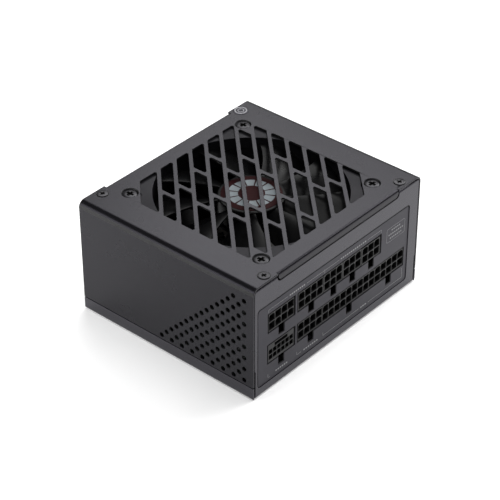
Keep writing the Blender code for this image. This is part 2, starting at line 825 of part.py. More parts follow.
def blade_bmesh(turn):
    """A curved grid from hub to tip, falling from its leading edge to its trailing edge."""
    bm = bmesh.new()
    bmesh.ops.create_grid(bm, x_segments=4, y_segments=5, size=0.5)
    for vert in bm.verts:
        along = vert.co.x + 0.5
        back = vert.co.y + 0.5
        radius = HUB_RADIUS - 0.9 + along * (BLADE_TIP - HUB_RADIUS + 0.9)
        chord = 38.0 - 8.0 * along
        sweep = 8.0 * along**1.5
        angle = math.radians(turn + sweep - chord * back)
        height = 59.2 - 0.3 * along - (8.6 - 1.8 * along) * back**1.6
        vert.co = (radius * math.cos(angle) * MM, radius * math.sin(angle) * MM, height * MM)
    return bm


def make_fan_moving_parts():
    hub = turned(
        "fan_rotor",
        [
            (0, HUB_TOP),
            (HUB_RADIUS - 0.6, HUB_TOP),
            (HUB_RADIUS - 0.15, HUB_TOP - 0.2),
            (HUB_RADIUS, HUB_TOP - 0.7),
            (HUB_RADIUS, FAN_BOTTOM + 2.8),
            (HUB_RADIUS - 1.3, FAN_BOTTOM + 2.8),
            (HUB_RADIUS - 1.3, HUB_TOP - 1.6),
            (2.8, HUB_TOP - 1.6),
            (2.8, HUB_TOP - 3.4),
            (1.3, HUB_TOP - 3.4),
            (1.3, HUB_TOP - 0.9),
            (0, HUB_TOP - 0.9),
        ],
        32,
        "fan",
    )
    blades = gathered("fan_blades", [], None)
    whole = bmesh.new()
    for i in range(BLADES):
        piece = blade_bmesh(FIRST_BLADE + 360.0 / BLADES * i)
        part = bpy.data.meshes.new("piece")
        piece.to_mesh(part)
        piece.free()
        whole.from_mesh(part)
        bpy.data.meshes.remove(part)
    whole.to_mesh(blades.data)
    whole.free()
    thick = blades.modifiers.new("thickness", "SOLIDIFY")
    thick.thickness = 1.2 * MM
    thick.offset = 0.0
    add(hub, blades)
    ring = [
        (HUB_RADIUS - 1.6, HUB_TOP - 3.6),
        (HUB_RADIUS - 1.6, FAN_BOTTOM + 3.0),
        (HUB_RADIUS - 3.2, FAN_BOTTOM + 3.0),
        (HUB_RADIUS - 3.2, HUB_TOP - 3.6),
    ]
    turned("fan_magnet_ring", ring, 24, "magnet")
    sticker = [(0, HUB_TOP + 0.22), (15.0, HUB_TOP + 0.22), (15.0, HUB_TOP + 0.05), (0, HUB_TOP + 0.05)]
    turned("fan_hub_sticker", sticker, 32, "sticker")
    shaft = [(0, HUB_TOP - 1.2), (1.0, HUB_TOP - 1.2), (1.0, FAN_BOTTOM + 1.5), (0, FAN_BOTTOM + 1.5)]
    turned("fan_shaft", shaft, 16, "steel")
    sleeve = [
        (1.06, FAN_BOTTOM + 8.6),
        (3.1, FAN_BOTTOM + 8.6),
        (3.1, FAN_BOTTOM + 1.5),
        (1.06, FAN_BOTTOM + 1.5),
    ]
    turned("fan_bearing", sleeve, 20, "brass")


def make_stator():
    """Four poles around a ring, as one stack of plates."""
    loop = []
    for i in range(4):
        middle = 90.0 * i
        for angle, radius in ((-38, 12.8), (-19, 12.8), (0, 12.8), (19, 12.8), (38, 12.8)):
            a = math.radians(middle + angle)
            loop.append((radius * math.cos(a), radius * math.sin(a)))
        for angle, radius in ((38, 11.5), (14, 11.1), (22, 6.4), (68, 6.4), (76, 11.1), (52, 11.5)):
            a = math.radians(middle + angle)
            loop.append((radius * math.cos(a), radius * math.sin(a)))
    bore = circle(0, 0, 4.7, 16)
    extruded("fan_stator", [loop, bore], FAN_BOTTOM + 3.4, FAN_BOTTOM + 8.6, "Z", "copper")


# ---------------------------------------------------------------- sockets
def make_socket(name, columns, left, right, middle, latch):
    body = gathered(
        name,
        [box_bmesh(left, right, SOCKET_FACE, SOCKET_BACK, middle - SOCKET_HALF_H, middle + SOCKET_HALF_H)],
        "socket",
    )
    centre = (left + right) / 2
    cells = []
    pins = []
    for column in range(columns):
        x = centre + (column - (columns - 1) / 2) * PITCH
        for row in (0, 1):
            z = middle + (row - 0.5) * ROW_PITCH
            h = CELL / 2
            bevel = 0.9 if (row + column) % 2 else 0.0
            loop = [(x - h, z - h), (x + h, z - h), (x + h, z + h - bevel)]
            if bevel:
                loop += [(x + h - bevel, z + h), (x - h + bevel, z + h)]
                loop += [(x - h, z + h - bevel)]
            else:
                loop += [(x - h, z + h)]
            cells.append(extruded_bmesh([loop], SOCKET_FACE - 1, SOCKET_BACK - 1.5, "Y"))
            back, front = SOCKET_BACK - 1, SOCKET_BACK - 7.5
            pins.append(box_bmesh(x - 0.55, x + 0.55, front, back, z - 0.55, z + 0.55))
    cut(body, gathered(name + "_cells", cells, None))
    add(body, gathered(name + "_pins", pins, None))
    foot = middle - SOCKET_HALF_H
    front, back = SOCKET_FACE + 2.6, SOCKET_FACE + 6.5
    shelf = [box_bmesh(latch - 1.7, latch + 1.7, front, back, foot - 3.2, foot + 0.4)]
    add(body, gathered(name + "_latch", shelf, None))
    return body


def make_small_pin_socket():
    name = "socket_16pin"
    left, right, bottom, high = -51.4, -32.9, 15.6, 25.6
    body = gathered(name, [box_bmesh(left, right, SOCKET_FACE, SOCKET_BACK, bottom, high)], "socket")
    cells = []
    pins = []
    for column in range(6):
        x = -42.15 + (column - 2.5) * 2.95
        for z in (18.2, 21.3):
            h = SMALL_CELL / 2
            cells.append(box_bmesh(x - h, x + h, SOCKET_FACE - 1, SOCKET_BACK - 1.5, z - h, z + h))
            back, front = SOCKET_BACK - 1, SOCKET_BACK - 7.5
            pins.append(box_bmesh(x - 0.4, x + 0.4, front, back, z - 0.4, z + 0.4))
    cells.append(box_bmesh(-46.7, -37.5, SOCKET_FACE - 1, SOCKET_BACK - 3.0, 23.1, 24.9))
    cut(body, gathered(name + "_cells", cells, None))
    for i in range(4):
        x = -42.1 + (i - 1.5) * 2.0
        pins.append(box_bmesh(x - 0.3, x + 0.3, SOCKET_BACK - 7.0, SOCKET_BACK - 2.5, 23.7, 24.3))
    add(body, gathered(name + "_pins", pins, None))
    shelf = [box_bmesh(-43.7, -40.3, SOCKET_FACE + 2.6, SOCKET_FACE + 6.5, bottom - 3.2, bottom + 0.4)]
    add(body, gathered(name + "_latch", shelf, None))


# ---------------------------------------------------------------- mains inlet and switch
def inlet_loop(half_w, half_h, chamfer):
    return [
        (INLET_X - half_w, INLET_Z - half_h),
        (INLET_X + half_w, INLET_Z - half_h),
        (INLET_X + half_w, INLET_Z + half_h - chamfer),
        (INLET_X + half_w - chamfer, INLET_Z + half_h),
        (INLET_X - half_w + chamfer, INLET_Z + half_h),
        (INLET_X - half_w, INLET_Z + half_h - chamfer),
    ]


def make_inlet():
    body = extruded("ac_inlet", [inlet_loop(13.6, 10.0, 4.7)], 37.0, HALF_D + 0.6, "Y", "socket")
    plate = rounded(rectangle(INLET_X - 15.6, INLET_X + 15.6, INLET_Z - 12.0, INLET_Z + 12.0, 2.5), 3)
    add(body, extruded("ac_inlet_flange", [plate], HALF_D + 0.15, HALF_D + 2.3, "Y", None))
    mouth = inlet_loop(12.2, 8.4, 4.2)
    cut(body, extruded("ac_inlet_mouth", [mouth], 39.0, HALF_D + 4, "Y", None))
    slots = []
    for dx, dz in ((-7.0, -1.0), (7.0, -1.0), (0.0, 3.0)):
        x, z = INLET_X + dx, INLET_Z + dz
        slots.append(box_bmesh(x - 2.3, x + 2.3, 36.0, 41.0, z - 1.3, z + 1.3))
    cut(body, gathered("ac_inlet_pin_slots", slots, None))
    for name, dx, dz in (("neutral", -7.0, -1.0), ("live", 7.0, -1.0), ("earth", 0.0, 3.0)):
        x, z = INLET_X + dx, INLET_Z + dz
        loop = rounded(
            [
                (x - 2.0, 33.0),
                (x + 2.0, 33.0),
                (x + 2.0, HALF_D - 0.5, 0.8),
                (x - 2.0, HALF_D - 0.5, 0.8),
            ],
            2,
        )
        extruded("inlet_pin_" + name, [loop], z - 1.0, z + 1.0, "Z", "steel")


def make_switch():
    half_w, half_h = 6.5, 9.5
    housing = extruded(
        "switch_housing",
        [rounded(rectangle(SWITCH_X - half_w, SWITCH_X + half_w, SWITCH_Z - half_h, SWITCH_Z + half_h))],
        40.0,
        HALF_D + 0.6,
        "Y",
        "socket",
    )
    bezel = rectangle(SWITCH_X - 7.6, SWITCH_X + 7.6, SWITCH_Z - 10.6, SWITCH_Z + 10.6, 1.0)
    add(housing, extruded("switch_bezel", [rounded(bezel, 2)], HALF_D + 0.15, HALF_D + 1.9, "Y", None))
    well = rectangle(SWITCH_X - 5.6, SWITCH_X + 5.6, SWITCH_Z - 8.6, SWITCH_Z + 8.6)
    cut(housing, extruded("switch_well", [rounded(well)], 43.0, HALF_D + 4, "Y", None))

    pivot_y = HALF_D - 1.0
    reach = 8.2
    tilt = math.radians(ROCKER_TILT)
    half = []
    for step in range(6):
        angle = math.radians(14.0 - step * 12.0)
        half.append((reach * math.sin(angle), reach * math.cos(angle)))
    loop = [(2.6, 0.0)] + half + [(-7.4, 2.4)]
    loop += [(-7.4, -2.4)] + [(y, -z) for y, z in reversed(half)]
    rocker = extruded("switch_rocker", [loop], -5.2, 5.2, "X", "chip")
    rocker.location = (SWITCH_X * MM, pivot_y * MM, SWITCH_Z * MM)
    rocker.rotation_euler = (tilt, 0.0, 0.0)


# ---------------------------------------------------------------- boards and components
def make_boards():
    loops = [rounded(rectangle(-58.5, 58.5, -42.0, 51.5, 1.5), 2)]
    loops += [circle(x, y, 1.7, 8) for x, y in BOARD_SCREWS]
    extruded("main_board", loops, BOARD_BOTTOM, BOARD_TOP, "Z", "board")
    loops = [rounded(rectangle(-59.5, 59.5, -43.0, 52.5, 1.5), 2)]
    loops += [circle(x, y, 4.1, 8) for x, y in BOARD_SCREWS]
    extruded("insulating_sheet", loops, 1.3, 1.6, "Z", "film")
    for i, (x, y) in enumerate(BOARD_SCREWS):
        profile = [
            (0, BOARD_TOP + 1.9),
            (2.0, BOARD_TOP + 1.8),
            (2.7, BOARD_TOP + 1.2),
            (2.7, BOARD_TOP + 0.15),
            (1.2, BOARD_TOP + 0.15),
            (1.2, 2.2),
            (0, 2.2),
        ]
        make_screw("board_screw_" + str(i + 1), x, y, profile, BOARD_TOP + 1.9, 1.4, 1.0, "steel")
    loop = rounded(rectangle(-56.0, 56.0, 8.4, 45.4, 1.0), 2)
    extruded("socket_board", [loop], SOCKET_BACK + GAP, SOCKET_BACK + GAP + 1.6, "Y", "board")
    extruded(
        "control_board",
        [rounded(rectangle(-34.0, -8.0, BOARD_TOP + GAP, 30.0, 0.8), 2)],
        30.0,
        31.2,
        "Y",
        "board",
    )


def make_transformer():
    x, y, low = 2.0, -5.0, BOARD_TOP + 2.5
    brick = box_bmesh(x - 17, x + 17, y - 7.5, y + 7.5, low, low + 29)
    core = gathered("transformer_core", [brick], "ferrite")
    windows = [
        box_bmesh(x - 12.0, x - 5.0, y - 9, y + 9, low + 5, low + 24),
        box_bmesh(x + 5.0, x + 12.0, y - 9, y + 9, low + 5, low + 24),
    ]
    cut(core, gathered("transformer_windows", windows, None))
    outer = rounded(rectangle(x - 11.7, x + 11.7, y - 14.0, y + 14.0, 4.0), 3)
    inner = rounded(rectangle(x - 5.3, x + 5.3, y - 7.8, y + 7.8))
    extruded("transformer_winding", [outer, inner], low + 5.3, low + 23.7, "Z", "tape")


def make_toroid(name, x, y, z, radius, bore, width, axis, finish, sides=18):
    profile = [
        (bore + 0.8, width / 2),
        (radius - 0.8, width / 2),
        (radius, width / 2 - 0.8),
        (radius, -width / 2 + 0.8),
        (radius - 0.8, -width / 2),
        (bore + 0.8, -width / 2),
        (bore, -width / 2 + 0.8),
        (bore, width / 2 - 0.8),
    ]
    place = at(x, y, z)
    if axis == "X":
        place = place @ Matrix.Rotation(math.pi / 2, 4, "Y")
    if axis == "Y":
        place = place @ Matrix.Rotation(math.pi / 2, 4, "X")
    return turned(name, profile, sides, finish, place)


def make_can(name, x, y, radius, low, high):
    """An electrolytic capacitor: a sleeved can with a rolled groove near its foot."""
    profile = [
        (0, high),
        (radius - 0.8, high),
        (radius, high - 0.8),
        (radius, low + 3.6),
        (radius - 0.6, low + 3.0),
        (radius, low + 2.4),
        (radius, low + 0.5),
        (radius - 0.5, low),
        (0, low),
    ]
    return turned(name, profile, 18, "sleeve", at(x, y))


def comb(name, x0, x1, y0, y1, low, high, fins, reach):
    """A heatsink: an upright plate with fins standing out to one side."""
    plate = gathered(name, [box_bmesh(x0, x1, y0, y1, low, high)], "heatsink")
    pieces = []
    for i in range(fins):
        z = low + 5.0 + i * (high - low - 7.0) / (fins - 1)
        a, b = (x0 + reach, x0 + 0.5) if reach < 0 else (x1 - 0.5, x1 + reach)
        pieces.append(box_bmesh(a, b, y0 + 0.5, y1 - 0.5, z - 0.6, z + 0.6))
    add(plate, gathered(name + "_fins", pieces, None))
    return plate


def make_components():
    foot = BOARD_TOP + GAP
    make_transformer()
    make_can("bulk_capacitor", 41.5, -25.0, 15.0, foot, 44.0)
    make_can("output_capacitor_1", -30.0, -33.0, 5.0, foot, 27.0)
    make_can("output_capacitor_2", -42.0, -33.0, 5.0, foot, 27.0)
    make_toroid("pfc_choke", 43.0, 4.5, foot + 6.5, 13.0, 5.5, 13.0, "Z", "copper")
    make_toroid("emi_choke", 46.0, 26.5, foot + 9.0, 9.0, 3.8, 11.0, "Y", "toroid")
    make_toroid("output_choke", -44.0, 10.0, foot + 10.5, 10.5, 4.0, 12.0, "X", "copper")
    comb("primary_heatsink", 22.0, 24.0, -38.0, 14.0, foot, 43.0, 5, -2.5)
    comb("secondary_heatsink", -21.0, -19.0, -38.0, 20.0, foot, 43.0, 5, 3.4)
    blocks = (
        ("bridge_rectifier", (28.0, 32.0, 15.0, 31.5, foot, foot + 17.0), "chip"),
        ("x_capacitor", (12.0, 24.0, 20.0, 34.0, foot, foot + 14.0), "box_cap"),
        ("relay", (-6.0, 6.0, 32.5, 48.0, foot, foot + 4.0), "chip"),
        ("power_transistor", (24.3, 26.3, -2.0, 13.0, foot + 3.0, foot + 23.0), "chip"),
        ("output_rectifier", (-23.3, -21.3, -14.0, 1.0, foot + 3.0, foot + 23.0), "chip"),
    )
    for name, limits, finish in blocks:
        block = gathered(name, [box_bmesh(*limits)], finish)
        edge = block.modifiers.new("edges", "BEVEL")
        edge.width = 0.4 * MM
        edge.segments = 1
        edge.limit_method = "ANGLE"


def make_fan_lead():
    """The fan's cable, from the motor base along a spoke and down to its plug on the main board."""
    points = [
        (-17.2, 3.0, 46.9 - 2.6),
        (-24.0, 6.0, 43.8),
        (-32.0, 12.0, 43.6),
        (-40.0, 22.0, 43.0),
        (-46.5, 31.0, 40.0),
        (-49.0, 34.5, 33.0),
        (-49.2, 35.0, 24.0),
        (-49.0, 35.0, 16.5),
    ]
    curve = bpy.data.curves.new("fan_lead", "CURVE")
    curve.dimensions = "3D"
    curve.bevel_depth = 1.1 * MM
    curve.bevel_resolution = 1
    curve.use_fill_caps = True
    spline = curve.splines.new("POLY")
    smooth = []
    for i in range(len(points) - 1):
        before = points[max(i - 1, 0)]
        start, end = points[i], points[i + 1]
        after = points[min(i + 2, len(points) - 1)]
        for step in range(2):
            t = step / 2
            smooth.append(
                tuple(
                    0.5
                    * (
                        2 * b
                        + (c - a) * t
                        + (2 * a - 5 * b + 4 * c - d) * t * t
                        + (3 * b - a - 3 * c + d) * t**3
                    )
                    for a, b, c, d in zip(before, start, end, after)
                )
            )
    smooth.append(points[-1])
    spline.points.add(len(smooth) - 1)
    for point, (x, y, z) in zip(spline.points, smooth):
        point.co = (x * MM, y * MM, z * MM, 1.0)
    lead = bpy.data.objects.new("fan_lead", curve)
    bpy.context.scene.collection.objects.link(lead)
    graph = bpy.context.evaluated_depsgraph_get()
    mesh = bpy.data.meshes.new_from_object(lead.evaluated_get(graph))
    bm = bmesh.new()
    bm.from_mesh(mesh)
    bpy.data.objects.remove(lead, do_unlink=True)
    bmesh.ops.remove_doubles(bm, verts=bm.verts[:], dist=1e-7)
    link("fan_lead", mesh_from("fan_lead", bm), "wire")
    plug = gathered("fan_plug", [box_bmesh(-51.5, -46.5, 32.5, 37.5, BOARD_TOP + GAP, 16.2)], "nylon")
    edge = plug.modifiers.new("edges", "BEVEL")
    edge.width = 0.3 * MM
    edge.segments = 1
    edge.limit_method = "ANGLE"


def settle(obj):
    """Applies an object's modifiers and marks its edges sharp by angle."""
    graph = bpy.context.evaluated_depsgraph_get()
    mesh = bpy.data.meshes.new_from_object(obj.evaluated_get(graph))
    obj.modifiers.clear()
    obj.data = mesh
    mesh.shade_smooth()
    mesh.set_sharp_from_angle(angle=math.radians(30))


make_top_cover()
make_tray()
make_label()
make_screws()
make_fan_frame()
make_fan_moving_parts()
make_stator()
for row in SOCKETS:
    make_socket(*row)
make_small_pin_socket()
make_inlet()
make_switch()
make_boards()
make_components()
make_fan_lead()
for piece in unit.objects:
    if piece.modifiers:
        settle(piece)
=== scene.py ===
"""The looks of the small form factor power supply unit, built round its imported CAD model.

X runs along the socket panel, -Y is that panel's outward side and +Z is the fan side.
Lengths are in millimetres, which MM turns into metres; lights and camera are in metres.
"""

import math

import bmesh
import bpy
from mathutils import Matrix, Vector


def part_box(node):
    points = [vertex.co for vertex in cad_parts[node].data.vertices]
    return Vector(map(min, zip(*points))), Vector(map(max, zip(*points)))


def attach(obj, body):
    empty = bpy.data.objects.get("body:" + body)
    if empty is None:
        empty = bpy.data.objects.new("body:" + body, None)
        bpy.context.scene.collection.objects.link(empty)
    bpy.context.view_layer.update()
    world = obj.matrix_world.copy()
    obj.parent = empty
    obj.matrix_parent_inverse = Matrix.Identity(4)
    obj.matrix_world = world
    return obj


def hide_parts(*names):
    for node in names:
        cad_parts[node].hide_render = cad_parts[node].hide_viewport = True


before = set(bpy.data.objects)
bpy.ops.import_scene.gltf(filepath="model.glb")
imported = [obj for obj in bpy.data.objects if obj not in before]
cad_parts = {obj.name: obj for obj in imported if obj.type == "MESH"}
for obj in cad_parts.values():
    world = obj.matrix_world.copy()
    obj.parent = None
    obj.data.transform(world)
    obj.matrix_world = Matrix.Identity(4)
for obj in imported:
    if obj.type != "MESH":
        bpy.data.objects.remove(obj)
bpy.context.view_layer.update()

MM = 0.001


def node_box(name):
    """A CAD node's lowest and highest corners, in millimetres."""
    low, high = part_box(name)
    return [c / MM for c in low], [c / MM for c in high]


# Case
_, cover_top = node_box("top_cover")
HALF_W = round(cover_top[0], 2)
HALF_D = round(cover_top[1], 2)
HEIGHT = round(cover_top[2], 2)
SHEET = 1.0
GAP = 0.3
COVER_BEND = 3.6
TRAY_BEND = 1.3
COVER_SIDE_BOTTOM = 7.4
TRAY_SIDE_TOP = 6.9
TONGUE_HALF = 44.7
TONGUE_BOTTOM = 59.6
TONGUE_GAP = 0.7
TONGUE_ROUND = 2.0
REAR_SETBACK = 0.8
NOTCH_HEIGHT = 16.0
NOTCH_X = 60.7
FLANGE_INNER = 46.8
FLANGE_END = 54.8
FAN_RELIEF = (46.5, 0.4)
RIM = 0.13

# Grille
WINDOW_X = 44.6
WINDOW_Y = 44.75
LANE_PITCH = 11.37
LANE_OFFSET = 0.4
LANE_WIDTH = 8.45
CORNER_CUT = 75.4
BOSS = 36.6
CROSS_BAR = 2.05
SLOT_ROUND = 0.8
LEAST_EDGE = 0.6
LEAST_AREA = 3.0
# Where the cross bars stand along each lane, by the lane's number from the middle
CROSS_BARS = {
    -5: (-30.2,),
    -4: (-21.0,),
    -3: (-26.4, -5.7),
    -2: (-16.3, 8.6),
    -1: (-22.8, 4.6),
    0: (-11.6, 18.4),
    1: (-15.9, 14.3),
    2: (4.6, 29.5),
    3: (-0.8, 25.6),
    4: (21.8,),
    5: (30.1,),
}

# Side vent
VENT_ROWS = 15
VENT_STEP = 3.25
VENT_TOP = 55.2
VENT_START = -49.3
VENT_RADIUS = 1.3

# Fasteners, each cross recess as (reach, depth, half width)
FAN_SCREW = 41.25
DIMPLE_DEPTH = 1.3
FAN_RECESS = (2.45, 1.3, 0.8)
COVER_SCREW_X = 50.4
COVER_SCREW_Y = 50.7
COVER_RECESS = (1.7, 0.9, 0.5)
CORNERS = {
    (-1, -1): "front_left",
    (1, -1): "front_right",
    (-1, 1): "rear_left",
    (1, 1): "rear_right",
}
FAN_SCREWS = [(x, y) for x in (-FAN_SCREW, FAN_SCREW) for y in (-FAN_SCREW, FAN_SCREW)]
COVER_SCREWS = [
    (x, y) for x in (-COVER_SCREW_X, COVER_SCREW_X) for y in (-COVER_SCREW_Y, COVER_SCREW_Y)
]
BOARD_SCREWS = ((-54.5, -38.0), (54.5, -38.0), (-52.0, 45.0), (56.0, 41.0))

# Fan
FAN_HALF = 49.0
FAN_CORNER = 10.0
FAN_TOP = 62.2
FAN_POCKET = 61.0
FAN_BOTTOM = 46.0
THROAT = 47.6
LIP = 6.4
SPOKES = 4
FIRST_SPOKE = 20.0
HUB_RADIUS = 16.7
STICKER_RADIUS = 15.0
STICKER_MARKS = 12
MARK_GAP = 4.8
MARK_RADII = (6.6, 11.7)
HUB_TOP = 60.2
BLADES = 9
BLADE_TIP = 46.4
BLADE_THICKNESS = 1.2
FIRST_BLADE = -12.0

# Socket panel, rectangles as (left, right, bottom, top)
LABEL = (-59.3, 54.6, 5.0, 50.3)
LABEL_DEPTH = 0.6
LABEL_THICKNESS = 0.2
PITCH = 4.46
ROW_PITCH = 4.6
CELL = 4.06
ROW_MIDDLES = (38.4, 20.7)
SOCKETS = (
    ("socket_8pin_top_left", 4, 38.45),
    ("socket_8pin_top_right", 4, 38.45),
    ("socket_6pin_left", 3, 38.45),
    ("socket_6pin_middle", 3, 38.45),
    ("socket_6pin_right", 3, 38.2),
    ("socket_8pin_bottom", 4, 20.8),
    ("socket_18pin", 9, 20.8),
    ("socket_10pin", 5, 20.8),
)
SOCKET_FACE = -HALF_D + 0.45
SOCKET_BACK = -44.4
SOCKET_HALF_H = 4.95
SMALL_COLUMNS = [-42.15 + (column - 2.5) * 2.95 for column in range(6)]
SMALL_ROWS = (18.2, 21.3)
SMALL_HALF = 1.26
SMALL_HEIGHT = 10.0
SENSE_SLOT = (-46.7, -37.5, 23.1, 24.9)
SENSE_PINS = [(-42.1 + (i - 1.5) * 2.0, 24.0) for i in range(4)]
OPENINGS = (
    (-51.6, -32.1, 32.9, 43.9), (-30.4, 32.8, 32.9, 43.9), (-51.9, -32.0, 15.1, 26.1),
    (-30.5, 51.8, 15.1, 26.1),
)
LATCHES_TOP = (-41.9, -20.3, -3.7, 10.7, 25.2)
LATCHES_BOTTOM = (-42.0, -20.3, 8.95, 40.0)
LATCH_DROP = 4.8
LATCH_HALF = 2.0

# Print on the panel: lines and rows of marks as (x0, x1, z), ticks as (x, z0, z1)
PRINT_WIDTH = 0.16
LINES = (
    (-51.2, -37.6, 46.3), (-23.9, -10.9, 46.3), (-10.6, 0.2, 46.3), (21.6, 32.5, 46.3),
    (-51.4, -50.2, 7.0), (-30.4, -27.2, 7.9), (-10.9, 16.8, 7.9), (23.8, 51.2, 7.9),
)
TICKS = (
    (-51.2, 44.6, 46.2), (-10.8, 44.6, 47.0), (32.5, 44.6, 46.2), (-51.5, 7.0, 9.0),
    (-30.5, 7.9, 9.6), (-11.0, 8.0, 9.7), (51.2, 8.0, 13.6),
)
MARK_ROWS = (
    (-36.3, -25.4, 46.3), (1.2, 20.6, 46.3), (-46.0, -37.5, 7.9), (-25.5, -15.0, 7.9),
    (18.0, 22.6, 7.9), (41.0, 47.8, 41.9), (38.6, 50.2, 39.7), (39.8, 49.0, 37.5),
)
NOTICE = (37.2, 51.6, 35.6, 43.7)

# Rear panel
INLET_X, INLET_Z = 36.5, 21.5
SWITCH_X, SWITCH_Z = 9.0, 21.5
INLET_PINS = (("neutral", -7.0, -1.0), ("live", 7.0, -1.0), ("earth", 0.0, 3.0))
MOUNTS = [(x, z) for x in (-56.5, 56.5) for z in (6.0, 57.5)]
HEX_PITCH = 8.2
HEX_RADIUS = 4.0
HEX_FIRST = (-50.5, 9.6)
VENT_LIMIT_X = -12.0
ROCKER_TILT = 11.0
ROCKER_REACH = 8.2
ROCKER_END = 14.0
ROCKER_DISH = 2.6

pieces = bpy.data.collections.new("power_supply_looks")
bpy.context.scene.collection.children.link(pieces)


# -------- materials
PATCH = 18.0
NOISE_LOW, NOISE_HIGH = 0.3, 0.7


def grained(
    name, colour, roughness, metallic=0.0, grain=0.4, bump=0.1, patch=0.05, speck=0.05,
    rough_spread=0.05, specular=0.5, tint=(1.0, 1.0, 1.0), stretch=(1.0, 1.0, 1.0),
):
    """A surface with a fine grain of that size in mm, broad faint patches and uneven gloss."""
    mat = bpy.data.materials.new(name)
    mat.use_nodes = True
    tree = mat.node_tree
    shader = tree.nodes["Principled BSDF"]
    shader.inputs["Metallic"].default_value = metallic
    shader.inputs["Specular IOR Level"].default_value = specular
    shader.inputs["Specular Tint"].default_value = (*tint, 1.0)
    place = tree.nodes.new("ShaderNodeTexCoord")
    mapping = tree.nodes.new("ShaderNodeMapping")
    mapping.inputs["Scale"].default_value = stretch
    tree.links.new(place.outputs["Object"], mapping.inputs["Vector"])

    def noise(size, detail):
        node = tree.nodes.new("ShaderNodeTexNoise")
        node.inputs["Scale"].default_value = 1.0 / (size * MM)
        node.inputs["Detail"].default_value = detail
        tree.links.new(mapping.outputs["Vector"], node.inputs["Vector"])
        return node.outputs["Fac"]

    def spread(value, middle, reach):
        """A noise value's usual range, stretched to lie that far about a middle."""
        ramp = tree.nodes.new("ShaderNodeMapRange")
        ramp.inputs["From Min"].default_value = NOISE_LOW
        ramp.inputs["From Max"].default_value = NOISE_HIGH
        ramp.inputs["To Min"].default_value = middle - reach
        ramp.inputs["To Max"].default_value = middle + reach
        tree.links.new(value, ramp.inputs["Value"])
        return ramp.outputs["Result"]

    fine = noise(grain, 2.0)
    broad = noise(PATCH, 3.0)
    both = tree.nodes.new("ShaderNodeMath")
    both.operation = "MULTIPLY"
    tree.links.new(spread(fine, 1.0, speck), both.inputs[0])
    tree.links.new(spread(broad, 1.0, patch), both.inputs[1])
    shade = tree.nodes.new("ShaderNodeVectorMath")
    shade.operation = "SCALE"
    shade.inputs[0].default_value = colour
    tree.links.new(both.outputs["Value"], shade.inputs["Scale"])
    tree.links.new(shade.outputs["Vector"], shader.inputs["Base Color"])
    tree.links.new(spread(broad, roughness, rough_spread), shader.inputs["Roughness"])
    if bump:
        relief = tree.nodes.new("ShaderNodeBump")
        relief.inputs["Strength"].default_value = bump
        relief.inputs["Distance"].default_value = grain * MM * 0.25
        tree.links.new(fine, relief.inputs["Height"])
        tree.links.new(relief.outputs["Normal"], shader.inputs["Normal"])
    return mat


def powder_coat(name, specular):
    """The case's satin black coat in two copies: the tray's has a higher specular level, painted
    light so the socket panel shows brighter than the cover's sides.
    """
    return grained(
        name, (0.004, 0.0039, 0.0046), 0.27, grain=0.3, speck=0.1, patch=0.02,
        rough_spread=0.006, specular=specular, tint=(0.875, 0.84, 1.0),
    )


# Painted light: the cover's copy has a lower specular level and the tray's a higher one, standing
# in for brighter light on the socket panel
CASE = powder_coat("powder_coat", 0.24)
TRAY_CASE_LIT = powder_coat("powder_coat_lit_copy", 0.55)
# Painted shade: a dull dark material for walls, hollows and gaps that would stand in shadow
EDGE_SHADE = grained("painted_edge_shade", (0.01, 0.01, 0.011), 0.5, grain=0.2, bump=0.2, specular=0.3)
FILM = grained(
    "label_film", (0.004, 0.0038, 0.005), 0.36, grain=0.2, bump=0.06, speck=0.08, specular=0.35,
    tint=(0.82, 0.78, 1.0),
)
# Painted shade for the socket cells' walls and floors
CELL_SHADE = grained("socket_cell_shade", (0.004, 0.004, 0.004), 0.6, specular=0.2)
# Painted shade for the screws' cross recesses
RECESS_SHADE = grained("painted_recess_shade", (0.003, 0.003, 0.003), 0.6, grain=0.3, specular=0.1)
INK = grained("label_print", (0.22, 0.22, 0.225), 0.5, grain=0.2, bump=0.0, speck=0.1)
NYLON = grained("socket_nylon", (0.005, 0.0048, 0.0055), 0.38, speck=0.15, specular=0.28)
FAN = grained(
    "fan_plastic", (0.0018, 0.0018, 0.002), 0.3, grain=0.6, bump=0.03, speck=0.1, specular=0.08
)
FRAME = grained(
    "fan_frame_plastic", (0.008, 0.0078, 0.009), 0.34, bump=0.08, speck=0.12,
    specular=0.1, tint=(0.9, 0.87, 1.0),
)
MAROON = grained(
    "hub_sticker", (0.019, 0.004, 0.0046), 0.6, grain=0.3, bump=0.04, speck=0.08, specular=0.06
)
SILVER_INK = grained(
    "hub_print", (0.16, 0.183, 0.196), 0.6, grain=0.3, bump=0.0, speck=0.08, specular=0.2
)
BLACK_STEEL = grained(
    "black_screw_steel", (0.008, 0.0078, 0.009), 0.32, grain=0.25, bump=0.08, speck=0.12,
    specular=0.36, tint=(0.94, 0.92, 1.0),
)
FOIL = grained("seal_foil", (0.2, 0.2, 0.21), 0.3, 0.8, grain=0.8, speck=0.15)
TIN = grained("tinned_pins", (0.2, 0.18, 0.14), 0.35, 1.0, grain=0.3, bump=0.05)
STEEL = grained(
    "plated_steel", (0.5, 0.5, 0.51), 0.3, 1.0, grain=0.5, bump=0.08, stretch=(1, 1, 12)
)
BRASS = grained("brass", (0.6, 0.43, 0.17), 0.3, 1.0, grain=0.5, bump=0.06)
COPPER = grained("enamelled_copper", (0.2, 0.06, 0.025), 0.35, 0.7, grain=0.8, bump=0.3)
BOARD = grained("circuit_board", (0.004, 0.014, 0.008), 0.4, grain=0.5, speck=0.2)
DARK_FILM = grained("insulating_film", (0.008, 0.008, 0.009), 0.35, bump=0.05)
FERRITE = grained("ferrite", (0.02, 0.02, 0.022), 0.55, 0.1, bump=0.3, speck=0.2)
TAPE = grained("winding_tape", (0.008, 0.006, 0.004), 0.4, grain=0.6, speck=0.1)
